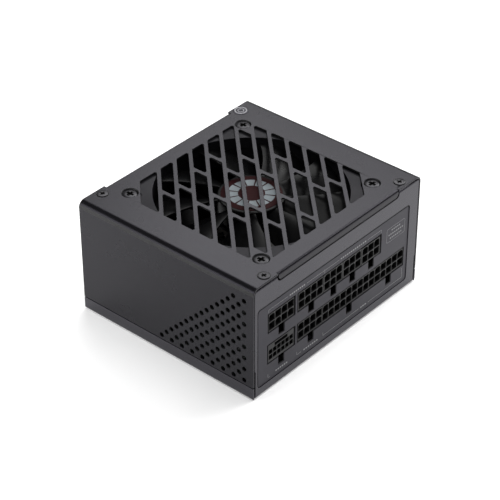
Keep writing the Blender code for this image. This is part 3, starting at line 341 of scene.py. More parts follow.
SLEEVE = grained("capacitor_sleeve", (0.008, 0.008, 0.011), 0.3, grain=0.6, bump=0.05)
ALUMINIUM = grained(
    "black_anodised_heatsink", (0.008, 0.008, 0.009), 0.4, grain=0.5, bump=0.15, stretch=(1, 14, 1)
)
CHIP = grained("moulded_epoxy", (0.012, 0.012, 0.013), 0.5, grain=0.3, bump=0.15, speck=0.15)
BOX_CAP = grained("box_capacitor", (0.008, 0.006, 0.004), 0.4, grain=0.5, bump=0.05)
TOROID = grained("coated_core", (0.004, 0.009, 0.007), 0.45, grain=0.5, bump=0.2, speck=0.15)
WHITE_NYLON = grained("plug_nylon", (0.03, 0.03, 0.03), 0.45, grain=0.5, bump=0.08)
WIRE = grained("wire_sleeve", (0.01, 0.01, 0.01), 0.45, grain=0.6, bump=0.2, speck=0.1)
MAGNET = grained("magnet", (0.03, 0.028, 0.027), 0.6, 0.2, grain=0.5, bump=0.2)
WHITE_INK = grained("white_mark", (0.45, 0.45, 0.44), 0.5, grain=0.3, bump=0.0)


# -------- geometry helpers
def at(x, y, z):
    """A shift by that many millimetres."""
    return Matrix.Translation((x * MM, y * MM, z * MM))


def spin(degrees, axis):
    return Matrix.Rotation(math.radians(degrees), 4, axis)


def changed(bm, matrix):
    bmesh.ops.transform(bm, matrix=matrix, verts=bm.verts[:])
    return bm


def rounded(corners, steps=3):
    """A closed loop from (u, v) or (u, v, radius) corners, each radius turned into an arc."""
    loop = []
    count = len(corners)
    for i, corner in enumerate(corners):
        radius = corner[2] if len(corner) > 2 else 0.0
        u, v = corner[0], corner[1]
        if radius <= 0:
            loop.append((u, v))
            continue
        before = corners[i - 1]
        after = corners[(i + 1) % count]
        a = Vector((before[0] - u, before[1] - v))
        b = Vector((after[0] - u, after[1] - v))
        len_a, len_b = a.length, b.length
        a.normalize()
        b.normalize()
        half = math.acos(max(-1.0, min(1.0, a.dot(b)))) / 2
        reach = min(radius / math.tan(half), 0.49 * len_a, 0.49 * len_b)
        real = reach * math.tan(half)
        centre = Vector((u, v)) + (a + b).normalized() * real / math.sin(half)
        start = Vector((u, v)) + a * reach - centre
        end = Vector((u, v)) + b * reach - centre
        first = math.atan2(start.y, start.x)
        turn = math.atan2(end.y, end.x) - first
        turn = (turn + math.pi) % (2 * math.pi) - math.pi
        for step in range(steps + 1):
            angle = first + turn * step / steps
            loop.append((centre.x + real * math.cos(angle), centre.y + real * math.sin(angle)))
    return loop


def rectangle(left, right, bottom, top, radius=0.0):
    """Four corners for rounded()."""
    return [
        (left, bottom, radius), (right, bottom, radius), (right, top, radius),
        (left, top, radius),
    ]


def cut_rectangle(u, v, half_w, half_h, cut, radius=0.0, cut_radius=0.0):
    """A rectangle round (u, v) with its two upper corners cut off."""
    return [
        (u - half_w, v - half_h, radius), (u + half_w, v - half_h, radius),
        (u + half_w, v + half_h - cut, cut_radius), (u + half_w - cut, v + half_h, cut_radius),
        (u - half_w + cut, v + half_h, cut_radius), (u - half_w, v + half_h - cut, cut_radius),
    ]


def circle(u, v, radius, sides, turn=0.0):
    """A regular loop round (u, v)."""
    step = 2 * math.pi / sides
    return [
        (u + radius * math.cos(turn + i * step), v + radius * math.sin(turn + i * step))
        for i in range(sides)
    ]


# The plane of a drawing, by the axis it is extruded along
AXES = {
    "Z": Matrix(),
    "Y": Matrix(((1, 0, 0, 0), (0, 0, 1, 0), (0, 1, 0, 0), (0, 0, 0, 1))),
    "X": Matrix(((0, 0, 1, 0), (1, 0, 0, 0), (0, 1, 0, 0), (0, 0, 0, 1))),
}


def drawn(loops, low, high, axis):
    """Flat loops, filled and extruded from low to high along an axis, as a closed bmesh."""
    curve = bpy.data.curves.new("drawing", "CURVE")
    curve.dimensions = "2D"
    curve.fill_mode = "BOTH"
    curve.extrude = (high - low) / 2 * MM
    for loop in loops:
        spline = curve.splines.new("POLY")
        spline.points.add(len(loop) - 1)
        for point, (u, v) in zip(spline.points, loop):
            point.co = (u * MM, v * MM, 0.0, 1.0)
        spline.use_cyclic_u = True
    drawing = bpy.data.objects.new("drawing", curve)
    bpy.context.scene.collection.objects.link(drawing)
    graph = bpy.context.evaluated_depsgraph_get()
    mesh = bpy.data.meshes.new_from_object(drawing.evaluated_get(graph))
    bm = bmesh.new()
    bm.from_mesh(mesh)
    bpy.data.objects.remove(drawing, do_unlink=True)
    bpy.data.meshes.remove(mesh)
    bmesh.ops.remove_doubles(bm, verts=bm.verts[:], dist=1e-7)
    return changed(bm, AXES[axis] @ at(0, 0, (low + high) / 2))


def block(x0, x1, y0, y1, z0, z1):
    """A box between two corners, for cutting or to be worked further."""
    bm = bmesh.new()
    centre = at((x0 + x1) / 2, (y0 + y1) / 2, (z0 + z1) / 2)
    size = Matrix.Diagonal(((x1 - x0) * MM, (y1 - y0) * MM, (z1 - z0) * MM, 1.0))
    bmesh.ops.create_cube(bm, size=1.0, matrix=centre @ size)
    return bm


TURNS = {"Z": Matrix(), "X": spin(90, "Y"), "Y": spin(-90, "X")}


def rod(x, y, z, radius, length, axis="Z", sides=32, top_radius=None):
    """A rod or cone that starts at (x, y, z) and runs along an axis."""
    bm = bmesh.new()
    far_radius = radius if top_radius is None else top_radius
    bmesh.ops.create_cone(
        bm, cap_ends=True, segments=sides, radius1=radius * MM, radius2=far_radius * MM,
        depth=length * MM, matrix=at(x, y, z) @ TURNS[axis] @ at(0, 0, length / 2),
    )
    return bm


def lathe(profile, sides):
    """A profile of (radius, height) points, closed on itself or on the axis, turned about Z."""
    bm = bmesh.new()
    verts = [bm.verts.new((radius * MM, 0.0, height * MM)) for radius, height in profile]
    for a, b in zip(verts, verts[1:] + verts[:1]):
        if abs(a.co.x) > 1e-9 or abs(b.co.x) > 1e-9:
            bm.edges.new((a, b))
    bmesh.ops.spin(
        bm, geom=bm.verts[:] + bm.edges[:], axis=(0, 0, 1), cent=(0, 0, 0), steps=sides,
        angle=2 * math.pi, use_merge=True,
    )
    bmesh.ops.remove_doubles(bm, verts=bm.verts[:], dist=1e-7)
    return bm


def turned(bm, place, degrees, axis):
    """A bmesh turned about an axis through a place."""
    spot = at(*place)
    return changed(bm, spot @ spin(degrees, axis) @ spot.inverted())


def joined(bms):
    """Several bmeshes in one, still apart."""
    whole = bmesh.new()
    for bm in bms:
        bmesh.ops.recalc_face_normals(bm, faces=bm.faces[:])
        part = bpy.data.meshes.new("part")
        bm.to_mesh(part)
        bm.free()
        whole.from_mesh(part)
        bpy.data.meshes.remove(part)
    return whole


def piece(name, bm, material, recalc=True):
    """A visible object of one material, from a bmesh."""
    if recalc:
        bmesh.ops.recalc_face_normals(bm, faces=bm.faces[:])
    mesh = bpy.data.meshes.new(name)
    bm.to_mesh(mesh)
    bm.free()
    mesh.materials.append(material)
    obj = bpy.data.objects.new(name, mesh)
    pieces.objects.link(obj)
    return obj


def taken(obj):
    """A piece turned back into a bmesh; the piece itself goes."""
    bm = bmesh.new()
    bm.from_mesh(obj.data)
    bpy.data.objects.remove(obj, do_unlink=True)
    return bm


def bake(obj):
    """Applies an object's modifiers."""
    graph = bpy.context.evaluated_depsgraph_get()
    mesh = bpy.data.meshes.new_from_object(obj.evaluated_get(graph))
    obj.modifiers.clear()
    obj.data = mesh
    return obj


def boolean(obj, bms, operation="DIFFERENCE"):
    """Cuts, adds or intersects closed bmeshes that don't touch each other."""
    tool = bpy.data.objects.new("tool", bpy.data.meshes.new("tool"))
    whole = joined(bms)
    whole.to_mesh(tool.data)
    whole.free()
    bpy.context.scene.collection.objects.link(tool)
    step = obj.modifiers.new("step", "BOOLEAN")
    step.operation = operation
    step.solver = "EXACT"
    step.object = tool
    bake(obj)
    bpy.data.objects.remove(tool, do_unlink=True)
    return obj


def eased(obj, width=RIM, segments=2, angle=40):
    """Small rounded edges, and smooth shading between them."""
    bm = bmesh.new()
    bm.from_mesh(obj.data)
    bmesh.ops.remove_doubles(bm, verts=bm.verts[:], dist=2e-6)
    bm.to_mesh(obj.data)
    bm.free()
    bevel = obj.modifiers.new("edges", "BEVEL")
    bevel.width = width * MM
    bevel.segments = segments
    bevel.limit_method = "ANGLE"
    bevel.angle_limit = math.radians(angle)
    bevel.use_clamp_overlap = False
    bevel.miter_outer = "MITER_ARC"
    bake(obj)
    obj.data.shade_smooth()
    obj.data.set_sharp_from_angle(angle=math.radians(50))
    weighted = obj.modifiers.new("normals", "WEIGHTED_NORMAL")
    weighted.keep_sharp = True
    return obj


def painted_faces(obj, material, chosen):
    """Gives a second material to the faces that chosen(centre in mm, normal) picks."""
    obj.data.materials.append(material)
    index = len(obj.data.materials) - 1
    for face in obj.data.polygons:
        if chosen(face.center / MM, face.normal):
            face.material_index = index
    return obj


def smooth(obj, angle=35):
    """Smooth shading, with edges sharper than the angle kept."""
    obj.data.shade_smooth()
    obj.data.set_sharp_from_angle(angle=math.radians(angle))
    return obj


def placed(obj, body, slot, *nodes):
    """Hangs a piece on the body it rides on and hides the CAD nodes it stands in for; the slot
    argument is not used.
    """
    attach(obj, body)
    if nodes:
        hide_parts(*nodes)
    return obj


# -------- grille drawing
def clipped(polygon, a, b, limit):
    """The part of a convex polygon where a * x + b * y <= limit."""
    result = []
    for i, (x1, y1) in enumerate(polygon):
        x0, y0 = polygon[i - 1]
        d0 = a * x0 + b * y0 - limit
        d1 = a * x1 + b * y1 - limit
        if (d0 <= 0) != (d1 <= 0):
            share = d0 / (d0 - d1)
            result.append((x0 + (x1 - x0) * share, y0 + (y1 - y0) * share))
        if d1 <= 0:
            result.append((x1, y1))
    return result


def polygon_area(polygon):
    before = polygon[-1:] + polygon[:-1]
    return abs(sum(x0 * y1 - x1 * y0 for (x0, y0), (x1, y1) in zip(before, polygon))) / 2


def without_short_edges(polygon, least):
    """The polygon without the points that lie closer than that to the one before."""
    kept = []
    for point in polygon:
        if not kept or math.dist(point, kept[-1]) > least:
            kept.append(point)
    while len(kept) > 1 and math.dist(kept[0], kept[-1]) <= least:
        kept.pop()
    return kept


# The sides on which the three middle lanes stop short of the dimples, as (a, b) for clipped()
CLEARANCES = {0: ((1, 0), (-1, 0)), 1: ((0, 1), (-1, 0)), -1: ((1, 0), (0, -1))}


def grille_slots():
    """The slanting lanes, cut into slots by the cross bars and clear of the screw dimples."""
    slots = []
    for lane in range(-6, 7):
        middle = LANE_PITCH * lane + LANE_OFFSET
        low = -CORNER_CUT if lane == -6 else middle - LANE_WIDTH / 2
        high = CORNER_CUT if lane == 6 else middle + LANE_WIDTH / 2
        ends = [-WINDOW_X]
        for bar in CROSS_BARS.get(lane, ()):
            ends += [bar - CROSS_BAR / 2, bar + CROSS_BAR / 2]
        ends.append(WINDOW_X)
        for left, right in zip(ends[::2], ends[1::2]):
            slot = [(left, -WINDOW_Y), (right, -WINDOW_Y), (right, WINDOW_Y), (left, WINDOW_Y)]
            slot = clipped(slot, 1, -1, high)
            slot = clipped(slot, -1, 1, -low)
            for a, b in CLEARANCES.get(lane, ()):
                slot = clipped(slot, a, b, BOSS)
            slot = without_short_edges(slot, LEAST_EDGE)
            if len(slot) > 2 and polygon_area(slot) > LEAST_AREA:
                slots.append(rounded([(x, y, SLOT_ROUND) for x, y in slot], 4))
    return slots


# -------- top cover
def folded(corners, bend):
    """Gives every middle corner of a fold line the same bend radius."""
    return [(u, v, bend if 0 < i < len(corners) - 1 else 0.0) for i, (u, v) in enumerate(corners)]


def make_cover():
    """The folded cover: top, sides, tongues, dimples, grille and side vent."""
    inner = HALF_W - SHEET
    top = HEIGHT - SHEET
    outside = [
        (-HALF_W, COVER_SIDE_BOTTOM), (-HALF_W, HEIGHT), (HALF_W, HEIGHT),
        (HALF_W, COVER_SIDE_BOTTOM),
    ]
    inside = [(inner, COVER_SIDE_BOTTOM), (inner, top), (-inner, top), (-inner, COVER_SIDE_BOTTOM)]
    arch = rounded(folded(outside, COVER_BEND) + folded(inside, COVER_BEND - SHEET), 12)
    cover = piece("cover", drawn([arch], -HALF_D, HALF_D, "Y"), CASE)
    relief = TONGUE_HALF + GAP
    back = HALF_D - REAR_SETBACK
    boolean(
        cover,
        [
            block(-relief, relief, -HALF_D - 1, -HALF_D + 1.4, 60, 65),
            block(-relief, relief, back - 1.4, HALF_D + 1, 60, 65),
        ],
    )
    low = TONGUE_BOTTOM - 1
    over = [(-HALF_D, low), (-HALF_D, HEIGHT), (back, HEIGHT), (back, low)]
    front = -HALF_D + SHEET
    under = [(back - SHEET, low), (back - SHEET, top), (front, top), (front, low)]
    strap = rounded(folded(over, TRAY_BEND) + folded(under, TRAY_BEND - SHEET), 6)
    tongues = piece("tongues", drawn([strap], -TONGUE_HALF - 1, TONGUE_HALF + 1, "X"), CASE)
    face = rounded(
        [
            (-TONGUE_HALF, TONGUE_BOTTOM, TONGUE_ROUND),
            (TONGUE_HALF, TONGUE_BOTTOM, TONGUE_ROUND), (TONGUE_HALF, 66.0),
            (-TONGUE_HALF, 66.0),
        ],
        6,
    )
    boolean(tongues, [drawn([face], -HALF_D - 2, HALF_D + 2, "Y")], "INTERSECT")
    boolean(cover, [taken(tongues)], "UNION")

    cups = []
    bowls = []
    drills = []
    floor = top - DIMPLE_DEPTH
    for x, y in FAN_SCREWS:
        cups.append(rod(x, y, floor, 4.5, DIMPLE_DEPTH + 0.5, top_radius=5.0))
        bowls.append(rod(x, y, floor + SHEET, 3.7, DIMPLE_DEPTH + 0.1, top_radius=4.25))
        drills.append(rod(x, y, floor - 1, 2.1, 3.0))
    for x, y in COVER_SCREWS:
        bowls.append(rod(x, y, HEIGHT - 0.8, 1.9, 1.0, top_radius=3.6))
        drills.append(rod(x, y, HEIGHT - 3, 1.9, 2.5))
    boolean(cover, cups, "UNION")
    boolean(cover, bowls)
    boolean(cover, drills)
    boolean(cover, [drawn([loop], HEIGHT - 3, HEIGHT + 1, "Z") for loop in grille_slots()])
    vents = []
    for row in range(VENT_ROWS):
        for column in range(row + 3):
            if (row + column) % 2 == 0:
                y = VENT_START + VENT_STEP * column
                z = VENT_TOP - VENT_STEP * row
                vents.append(rod(-HALF_W - 1, y, z, VENT_RADIUS, 3.0, "X", 20))
    boolean(cover, vents)

    def painted_shade_faces(centre, normal):
        """Painted shade: the walls of the slots, sinks and vents, and the tongues' ends, so they
        read dark as if in shadow.
        """
        on_top = HEIGHT - SHEET - DIMPLE_DEPTH < centre.z < HEIGHT - 0.01
        in_plate = abs(centre.x) < HALF_W - 8 and abs(centre.y) < HALF_D - 1.5
        if on_top and in_plate and abs(normal.z) < 0.6:
            return True
        sink = math.hypot(abs(centre.x) - COVER_SCREW_X, abs(centre.y) - COVER_SCREW_Y)
        if sink < 3.4 and HEIGHT - 0.9 < centre.z < HEIGHT - 0.01:
            return True
        if abs(centre.x) > HALF_W - SHEET and abs(normal.x) < 0.2 and 9.0 < centre.z < 57.0:
            return abs(centre.y) < HALF_D - 2.0
        return TONGUE_BOTTOM - 0.1 < centre.z < HEIGHT - 2 and abs(normal.y) < 0.2

    # Painted shade on the cover's slot, sink and vent walls and on the tongues' ends
    painted_faces(cover, EDGE_SHADE, painted_shade_faces)
    eased(cover)
    placed(cover, "case", "painted", "top_cover")


# -------- tray
def hex_vents():
    """Honeycomb openings of the rear panel, beside the switch."""
    first_x, first_z = HEX_FIRST
    holes = []
    for row in range(5):
        z = first_z + row * HEX_PITCH * 0.866
        shift = HEX_PITCH / 2 if row % 2 else 0.0
        for column in range(6):
            x = first_x + shift + column * HEX_PITCH
            if x < VENT_LIMIT_X:
                holes.append((x, z))
    return holes


def make_tray():
    """The folded tray: floor, socket panel, rear panel, flanges under the cover and low sides."""
    top = HEIGHT - SHEET - GAP
    lip = FLANGE_INNER
    outside = [(-lip, top), (-HALF_D, top), (-HALF_D, 0), (HALF_D, 0), (HALF_D, top), (lip, top)]
    inside = [
        (lip, top - SHEET), (HALF_D - SHEET, top - SHEET), (HALF_D - SHEET, SHEET),
        (-HALF_D + SHEET, SHEET), (-HALF_D + SHEET, top - SHEET), (-lip, top - SHEET),
    ]
    strip = rounded(folded(outside, TRAY_BEND) + folded(inside, TRAY_BEND - SHEET), 6)
    side = HALF_W - SHEET - GAP
    # The tray takes the brighter, painted-light copy of the coat
    tray = piece("lower_case", drawn([strip], -HALF_W, HALF_W, "X"), TRAY_CASE_LIT)
    corner = COVER_BEND - SHEET - GAP
    notch = TONGUE_HALF + TONGUE_GAP
    seat = TONGUE_BOTTOM - TONGUE_GAP
    arc = rounded([(side, NOTCH_HEIGHT), (side, top, corner), (0.0, top)], 8)[1:-2]
    half = [(NOTCH_X, -1.0), (NOTCH_X, NOTCH_HEIGHT), (side, NOTCH_HEIGHT)] + arc
    half += [(side - corner - 0.2, top + 1), (notch, top + 1)]
    half += rounded([(notch, top + 1), (notch, seat, 2.3), (0.0, seat)], 6)[1:-1]
    loop = half + [(-x, z) for x, z in reversed(half)]
    boolean(tray, [drawn([loop], -HALF_D - 2, HALF_D + 2, "Y")], "INTERSECT")
    relief_x, clearance = FAN_RELIEF
    fan_room = FAN_HALF + clearance
    boolean(tray, [block(-relief_x, relief_x, -fan_room, fan_room, 60, 66)])
    wall = HALF_D - SHEET - 0.02
    corners = [
        block(x0, x1, y0, y1, 60.0, 64.0)
        for x0, x1 in ((-HALF_W, -FLANGE_END), (FLANGE_END, HALF_W))
        for y0, y1 in ((-wall, -lip + 1), (lip - 1, wall))
    ]
    boolean(tray, corners)

    inner = HALF_W - SHEET
    outside = [(-HALF_W, TRAY_SIDE_TOP), (-HALF_W, 0), (HALF_W, 0), (HALF_W, TRAY_SIDE_TOP)]
    inside = [(inner, TRAY_SIDE_TOP), (inner, SHEET), (-inner, SHEET), (-inner, TRAY_SIDE_TOP)]
    trough = rounded(folded(outside, TRAY_BEND) + folded(inside, TRAY_BEND - SHEET), 6)
    sides = piece("sides", drawn([trough], -HALF_D, HALF_D, "Y"), CASE)
    wide = inner + 0.05
    boolean(
        sides,
        [
            block(-wide, wide, -HALF_D - 1, -HALF_D + 1.6, -1, 8),
            block(-wide, wide, HALF_D - 1.6, HALF_D + 1, -1, 8),
        ],
    )
    boolean(tray, [taken(sides)], "UNION")
    boolean(tray, [rod(x, y, 0.5, 3.6, 4.2, top_radius=2.9) for x, y in BOARD_SCREWS], "UNION")

    front = -HALF_D
    panel = [block(a, b, front - 1, front + 3, c, d) for a, b, c, d in OPENINGS]
    boolean(tray, panel)
    latches = []
    for row, foot in ((LATCHES_TOP, 32.9), (LATCHES_BOTTOM, 15.1)):
        for x in row:
            x0, x1 = x - LATCH_HALF, x + LATCH_HALF
            latches.append(block(x0, x1, front - 1, front + 3, foot - LATCH_DROP, foot + 0.5))
    boolean(tray, latches)
    recess = rounded(rectangle(*LABEL, 1.8), 8)
    boolean(tray, [drawn([recess], front - 1, front + LABEL_DEPTH, "Y")])

    inlet = inlet_loop(14.0, 10.4, 4.8)
    switch = rounded(rectangle(SWITCH_X - 6.8, SWITCH_X + 6.8, SWITCH_Z - 9.8, SWITCH_Z + 9.8))
    loops = [inlet, switch]
    for x, z in hex_vents():
        corners = [(u, v, 0.5) for u, v in circle(x, z, HEX_RADIUS, 6, math.pi / 6)]
        loops.append(rounded(corners, 2))
    rear = [drawn([loop], HALF_D - 3, HALF_D + 1, "Y") for loop in loops]
    rear += [rod(x, HALF_D - 3, z, 1.75, 4, "Y", 24) for x, z in MOUNTS]
    boolean(tray, rear)
    drill = [rod(x, y, 1.6, 1.5, 6.0, sides=20) for x, y in BOARD_SCREWS]
    drill += [rod(x, y, 58.0, 1.8, 8.0, sides=20) for x, y in COVER_SCREWS]
    boolean(tray, drill)

    left, right, bottom, high = LABEL

    def painted_shade_faces(centre, normal):
        """Painted shade on the walls of the openings, and on the recess behind the film but for
        its lit sides.
        """
        in_wall = HALF_D - SHEET < abs(centre.y) < HALF_D - 0.01
        if centre.y < -HALF_D + LABEL_DEPTH - 0.05 and bottom - 1 < centre.z < high + 1:
            lit = normal.z > 0.3 or normal.x < -0.3
            return in_wall and abs(normal.y) < 0.2 and not lit
        if abs(centre.y + HALF_D - LABEL_DEPTH) < 0.02 and normal.y < -0.9:
            return left < centre.x < right and bottom < centre.z < high
        return in_wall and abs(normal.y) < 0.2 and 2.0 < centre.z < top - 2 and abs(centre.x) < 58

    # Painted shade: the opening walls and the recess floor take the edge shade, so a shadow line
    # shows round the film
    painted_faces(tray, EDGE_SHADE, painted_shade_faces)
    eased(tray)
    placed(tray, "case", "painted", "tray")


# -------- label and print
def make_label():
    """The film with its openings for the sockets; gives back where its face stands."""
    left, right, bottom, high = LABEL
    # The film stops short of the recess at its left and top, where the painted shade of the recess
    # floor shows as a shadow line
    loops = [rounded(rectangle(left + 0.75, right - 0.1, bottom + 0.1, high - 0.95, 1.7), 8)]
    for row, (a, b) in ((LATCHES_TOP, (0, 1)), (LATCHES_BOTTOM, (2, 3))):
        for index in (a, b):
            x0, x1, z0, z1 = OPENINGS[index]
            x0, x1, z0, z1 = x0 - 0.2, x1 + 0.2, z0 - 0.2, z1 + 0.2
            foot = z0 - LATCH_DROP
            loop = [(x0, z1, 0.3), (x0, z0, 0.3)]
            for x in row:
                if x0 < x < x1:
                    near, far = x - LATCH_HALF - 0.2, x + LATCH_HALF + 0.2
                    loop += [(near, z0), (near, foot, 0.3), (far, foot, 0.3), (far, z0)]
            loop += [(x1, z0, 0.3), (x1, z1, 0.3)]
            loops.append(rounded(loop, 3))
    back = -HALF_D + LABEL_DEPTH - 0.05
    label = piece("socket_panel_film", drawn(loops, back - LABEL_THICKNESS, back, "Y"), FILM)
    smooth(label)
    placed(label, "case", "label", "socket_label")
    return back - LABEL_THICKNESS


def dashes(left, right, middle, length=0.95, gap=0.55, tall=0.75):
    """A row of plain marks of one length, where a printed line stands."""
    count = max(1, round((right - left + gap) / (length + gap)))
    step = (right - left + gap) / count
    low, high = middle - tall / 2, middle + tall / 2
    starts = [left + i * step for i in range(count)]
    return [rectangle(start, start + step - gap, low, high) for start in starts]


def make_print(face):
    """Thin brackets over and under the sockets, with plain marks instead of words."""
    w = PRINT_WIDTH
    marks = [rectangle(x0, x1, z - w / 2, z + w / 2) for x0, x1, z in LINES]
    marks += [rectangle(x - w / 2, x + w / 2, z0, z1) for x, z0, z1 in TICKS]
    for row in MARK_ROWS:
        marks += dashes(*row)
    left, right, bottom, high = NOTICE
    outer = rounded(rectangle(*NOTICE, 0.9), 5)
    inner = rounded(rectangle(left + w, right - w, bottom + w, high - w, 0.75), 5)
    drawings = [[rounded(mark)] for mark in marks] + [[outer, inner]]
    bms = [drawn(loops, face - 0.02, face + 0.03, "Y") for loops in drawings]
    ink = piece("panel_print", joined(bms), INK)
    placed(ink, "case", "label")


# -------- sockets
def inside_cell(centre, normal):
    """Cell walls and floors, but not the front face or the housing's outside: the faces given
    painted shade.
    """
    deep = SOCKET_FACE + 0.05 < centre.y < SOCKET_BACK - 0.5
    return deep and any(abs(centre.z - row) < SOCKET_HALF_H - 0.1 for row in ROW_MIDDLES)


def cell_loop(x, z, half, chamfered):
    """A socket cell: square, or with its two upper corners cut off."""
    if chamfered:
        return rounded(cut_rectangle(x, z, half, half, 0.9, 0.25), 2)
    return rounded(rectangle(x - half, x + half, z - half, z + half, 0.25), 2)


def pin(x, z, half, front, back):
    """A square contact pin with a tapered tip."""
    bm = block(x - half, x + half, front + 0.9, back, z - half, z + half)
    tip = rod(x, front, z, half * 0.5, 1.0, "Y", 4, half * 1.36)
    return joined([bm, turned(tip, (x, 0, z), 45, "Y")])


def make_housing(name, left, right, foot, top, cells, latch, ease):
    """A socket's body, with its cells cut out and the shelf behind its latch."""
    body = piece(
        name + "_housing", block(left, right, SOCKET_FACE, SOCKET_BACK, foot, top), NYLON
    )
    boolean(body, cells)
    front, back = SOCKET_FACE + 2.6, SOCKET_FACE + 6.5
    shelf = block(latch - 1.7, latch + 1.7, front, back, foot - 3.2, foot + 0.4)
    boolean(body, [shelf], "UNION")
    # Painted shade: the cells take a darker, duller material so they read as in shadow
    painted_faces(body, CELL_SHADE, inside_cell)
    eased(body, ease)
    placed(body, "case", "socket_plastic", name)


def make_sockets():
    """The eight large sockets, the small one, and every contact in one piece."""
    pins = []
    for name, columns, middle in SOCKETS:
        low, high = node_box(name)
        left, right = low[0], high[0]
        centre = (left + right) / 2
        latch = centre
        for x in LATCHES_TOP + LATCHES_BOTTOM:
            if left < x < right and abs(x - centre) < 3.0:
                latch = x
        cells = []
        for column in range(columns):
            x = centre + (column - (columns - 1) / 2) * PITCH
            for row in (0, 1):
                z = middle + (row - 0.5) * ROW_PITCH
                loop = cell_loop(x, z, CELL / 2, (row + column) % 2 == 1)
                cells.append(drawn([loop], SOCKET_FACE - 1, SOCKET_BACK - 1.5, "Y"))
                pins.append(pin(x, z, 0.5, SOCKET_FACE + 3.4, SOCKET_BACK - 1.2))
        foot, top = middle - SOCKET_HALF_H, middle + SOCKET_HALF_H
        make_housing(name, left, right, foot, top, cells, latch, 0.06)

    name = "socket_16pin"
    low, high = node_box(name)
    cells = []
    half = SMALL_HALF
    for x in SMALL_COLUMNS:
        for z in SMALL_ROWS:
            loop = rounded(rectangle(x - half, x + half, z - half, z + half, 0.2), 2)
            cells.append(drawn([loop], SOCKET_FACE - 1, SOCKET_BACK - 1.5, "Y"))
            pins.append(pin(x, z, 0.35, SOCKET_FACE + 2.6, SOCKET_BACK - 1.2))
    strip = rounded(rectangle(*SENSE_SLOT, 0.2), 2)
    cells.append(drawn([strip], SOCKET_FACE - 1, SOCKET_BACK - 3.0, "Y"))
    for x, z in SENSE_PINS:
        pins.append(pin(x, z, 0.28, SOCKET_FACE + 3.0, SOCKET_BACK - 2.8))
    foot = high[2] - SMALL_HEIGHT
    make_housing(name, low[0], high[0], foot, high[2], cells, LATCHES_BOTTOM[0], 0.05)
    contacts = piece("socket_contacts", joined(pins), TIN)
    placed(contacts, "case", "steel")


# -------- screws and seal
def cross_cut(x, y, top, reach, depth, width, angle):
    """Two crossed wedges that narrow downwards."""
    wedges = []
    for quarter in (0.0, 90.0):
        bm = block(-reach, reach, -width, width, -depth, 0.6)
        for vert in bm.verts:
            if vert.co.z < 0:
                vert.co.x *= 0.5
                vert.co.y *= 0.7
        wedges.append(changed(bm, at(x, y, top) @ spin(angle + quarter, "Z")))
    return wedges


def make_screw(name, node, x, y, profile, recess, angle):
    """A turned screw with a cross recess, which is given as (reach, depth, half width)."""
    top = profile[0][1]
    reach, depth, width = recess
    screw = piece(name, changed(lathe(profile, 40), at(x, y, 0)), BLACK_STEEL)
    for wedge in cross_cut(x, y, top, reach, depth, width, angle):
        boolean(screw, [wedge])

    def in_recess(centre, normal):
        away = math.hypot(centre.x - x, centre.y - y)
        flat = abs(normal.z) < 0.9 or centre.z < top - depth * 0.8
        return away < reach * 1.05 and top - depth - 0.1 < centre.z < top - 0.02 and flat

    # Painted shade: the cross recess takes a near-black, duller material so it reads as a shadowed
    # hollow
    painted_faces(screw, RECESS_SHADE, in_recess)
    eased(screw, 0.05)
    placed(screw, "case", "screw_black", node)


def make_screws():
    """The fan's screws in their dimples and the cover's screws, the sealed one set lower."""
    for i, ((sx, sy), place) in enumerate(CORNERS.items()):
        floor = HEIGHT - DIMPLE_DEPTH
        profile = [
            (0, floor + 1.05), (1.0, floor + 1.03), (2.4, floor + 0.95), (3.2, floor + 0.82),
            (3.6, floor + 0.6), (3.68, floor + 0.4), (3.6, floor + 0.15), (1.8, floor + 0.15),
            (1.8, floor - 7.4), (1.3, floor - 8.0), (0, floor - 8.0),
        ]
        x, y = sx * FAN_SCREW, sy * FAN_SCREW
        names = "fan_fixing_" + place, "fan_screw_" + place
        make_screw(*names, x, y, profile, FAN_RECESS, (3, -4, 2, -2)[i])
        sealed = (sx, sy) == (1, 1)
        crown = HEIGHT - 0.1 if sealed else HEIGHT + 0.4
        rim = HEIGHT - 0.14 if sealed else HEIGHT + 0.24
        profile = [
            (0, crown), (1.5, crown - (0.02 if sealed else 0.08)),
            (2.45, rim + (crown - rim) * 0.4), (2.75, rim), (2.8, rim - 0.14),
            (1.5, HEIGHT - 0.95), (1.5, HEIGHT - 6.0), (1.0, HEIGHT - 6.6), (0, HEIGHT - 6.6),
        ]
        x, y = sx * COVER_SCREW_X, sy * COVER_SCREW_Y
        names = "case_fixing_" + place, "cover_screw_" + place
        make_screw(*names, x, y, profile, COVER_RECESS, (-8, 6, 9, 0)[i])


def make_seal():
    """A foil seal over one screw: a disc with two plain rings pressed into it."""
    x, y = COVER_SCREW_X, COVER_SCREW_Y
    top = HEIGHT + 0.2
    profile = [
        (0, top - 0.04), (0.9, top - 0.04), (1.0, top), (2.0, top), (2.1, top - 0.05),
        (2.5, top - 0.05), (2.6, top), (3.4, top), (3.5, top - 0.04), (3.9, top - 0.06),
        (3.9, HEIGHT + 0.05), (0, HEIGHT + 0.05),
    ]
    seal = smooth(piece("foil_seal", changed(lathe(profile, 48), at(x, y, 0)), FILM))
    placed(seal, "case", "foil", "seal_sticker")
    rings = []
    high, low = top + 0.02, top - 0.08
    for inner, outer in ((1.3, 1.75), (2.65, 3.3)):
        ring = lathe([(inner, high), (outer, high), (outer, low), (inner, low)], 48)
        rings.append(changed(ring, at(x, y, 0)))
    ring = smooth(piece("foil_seal_rings", joined(rings), FOIL))
    placed(ring, "case", "foil")


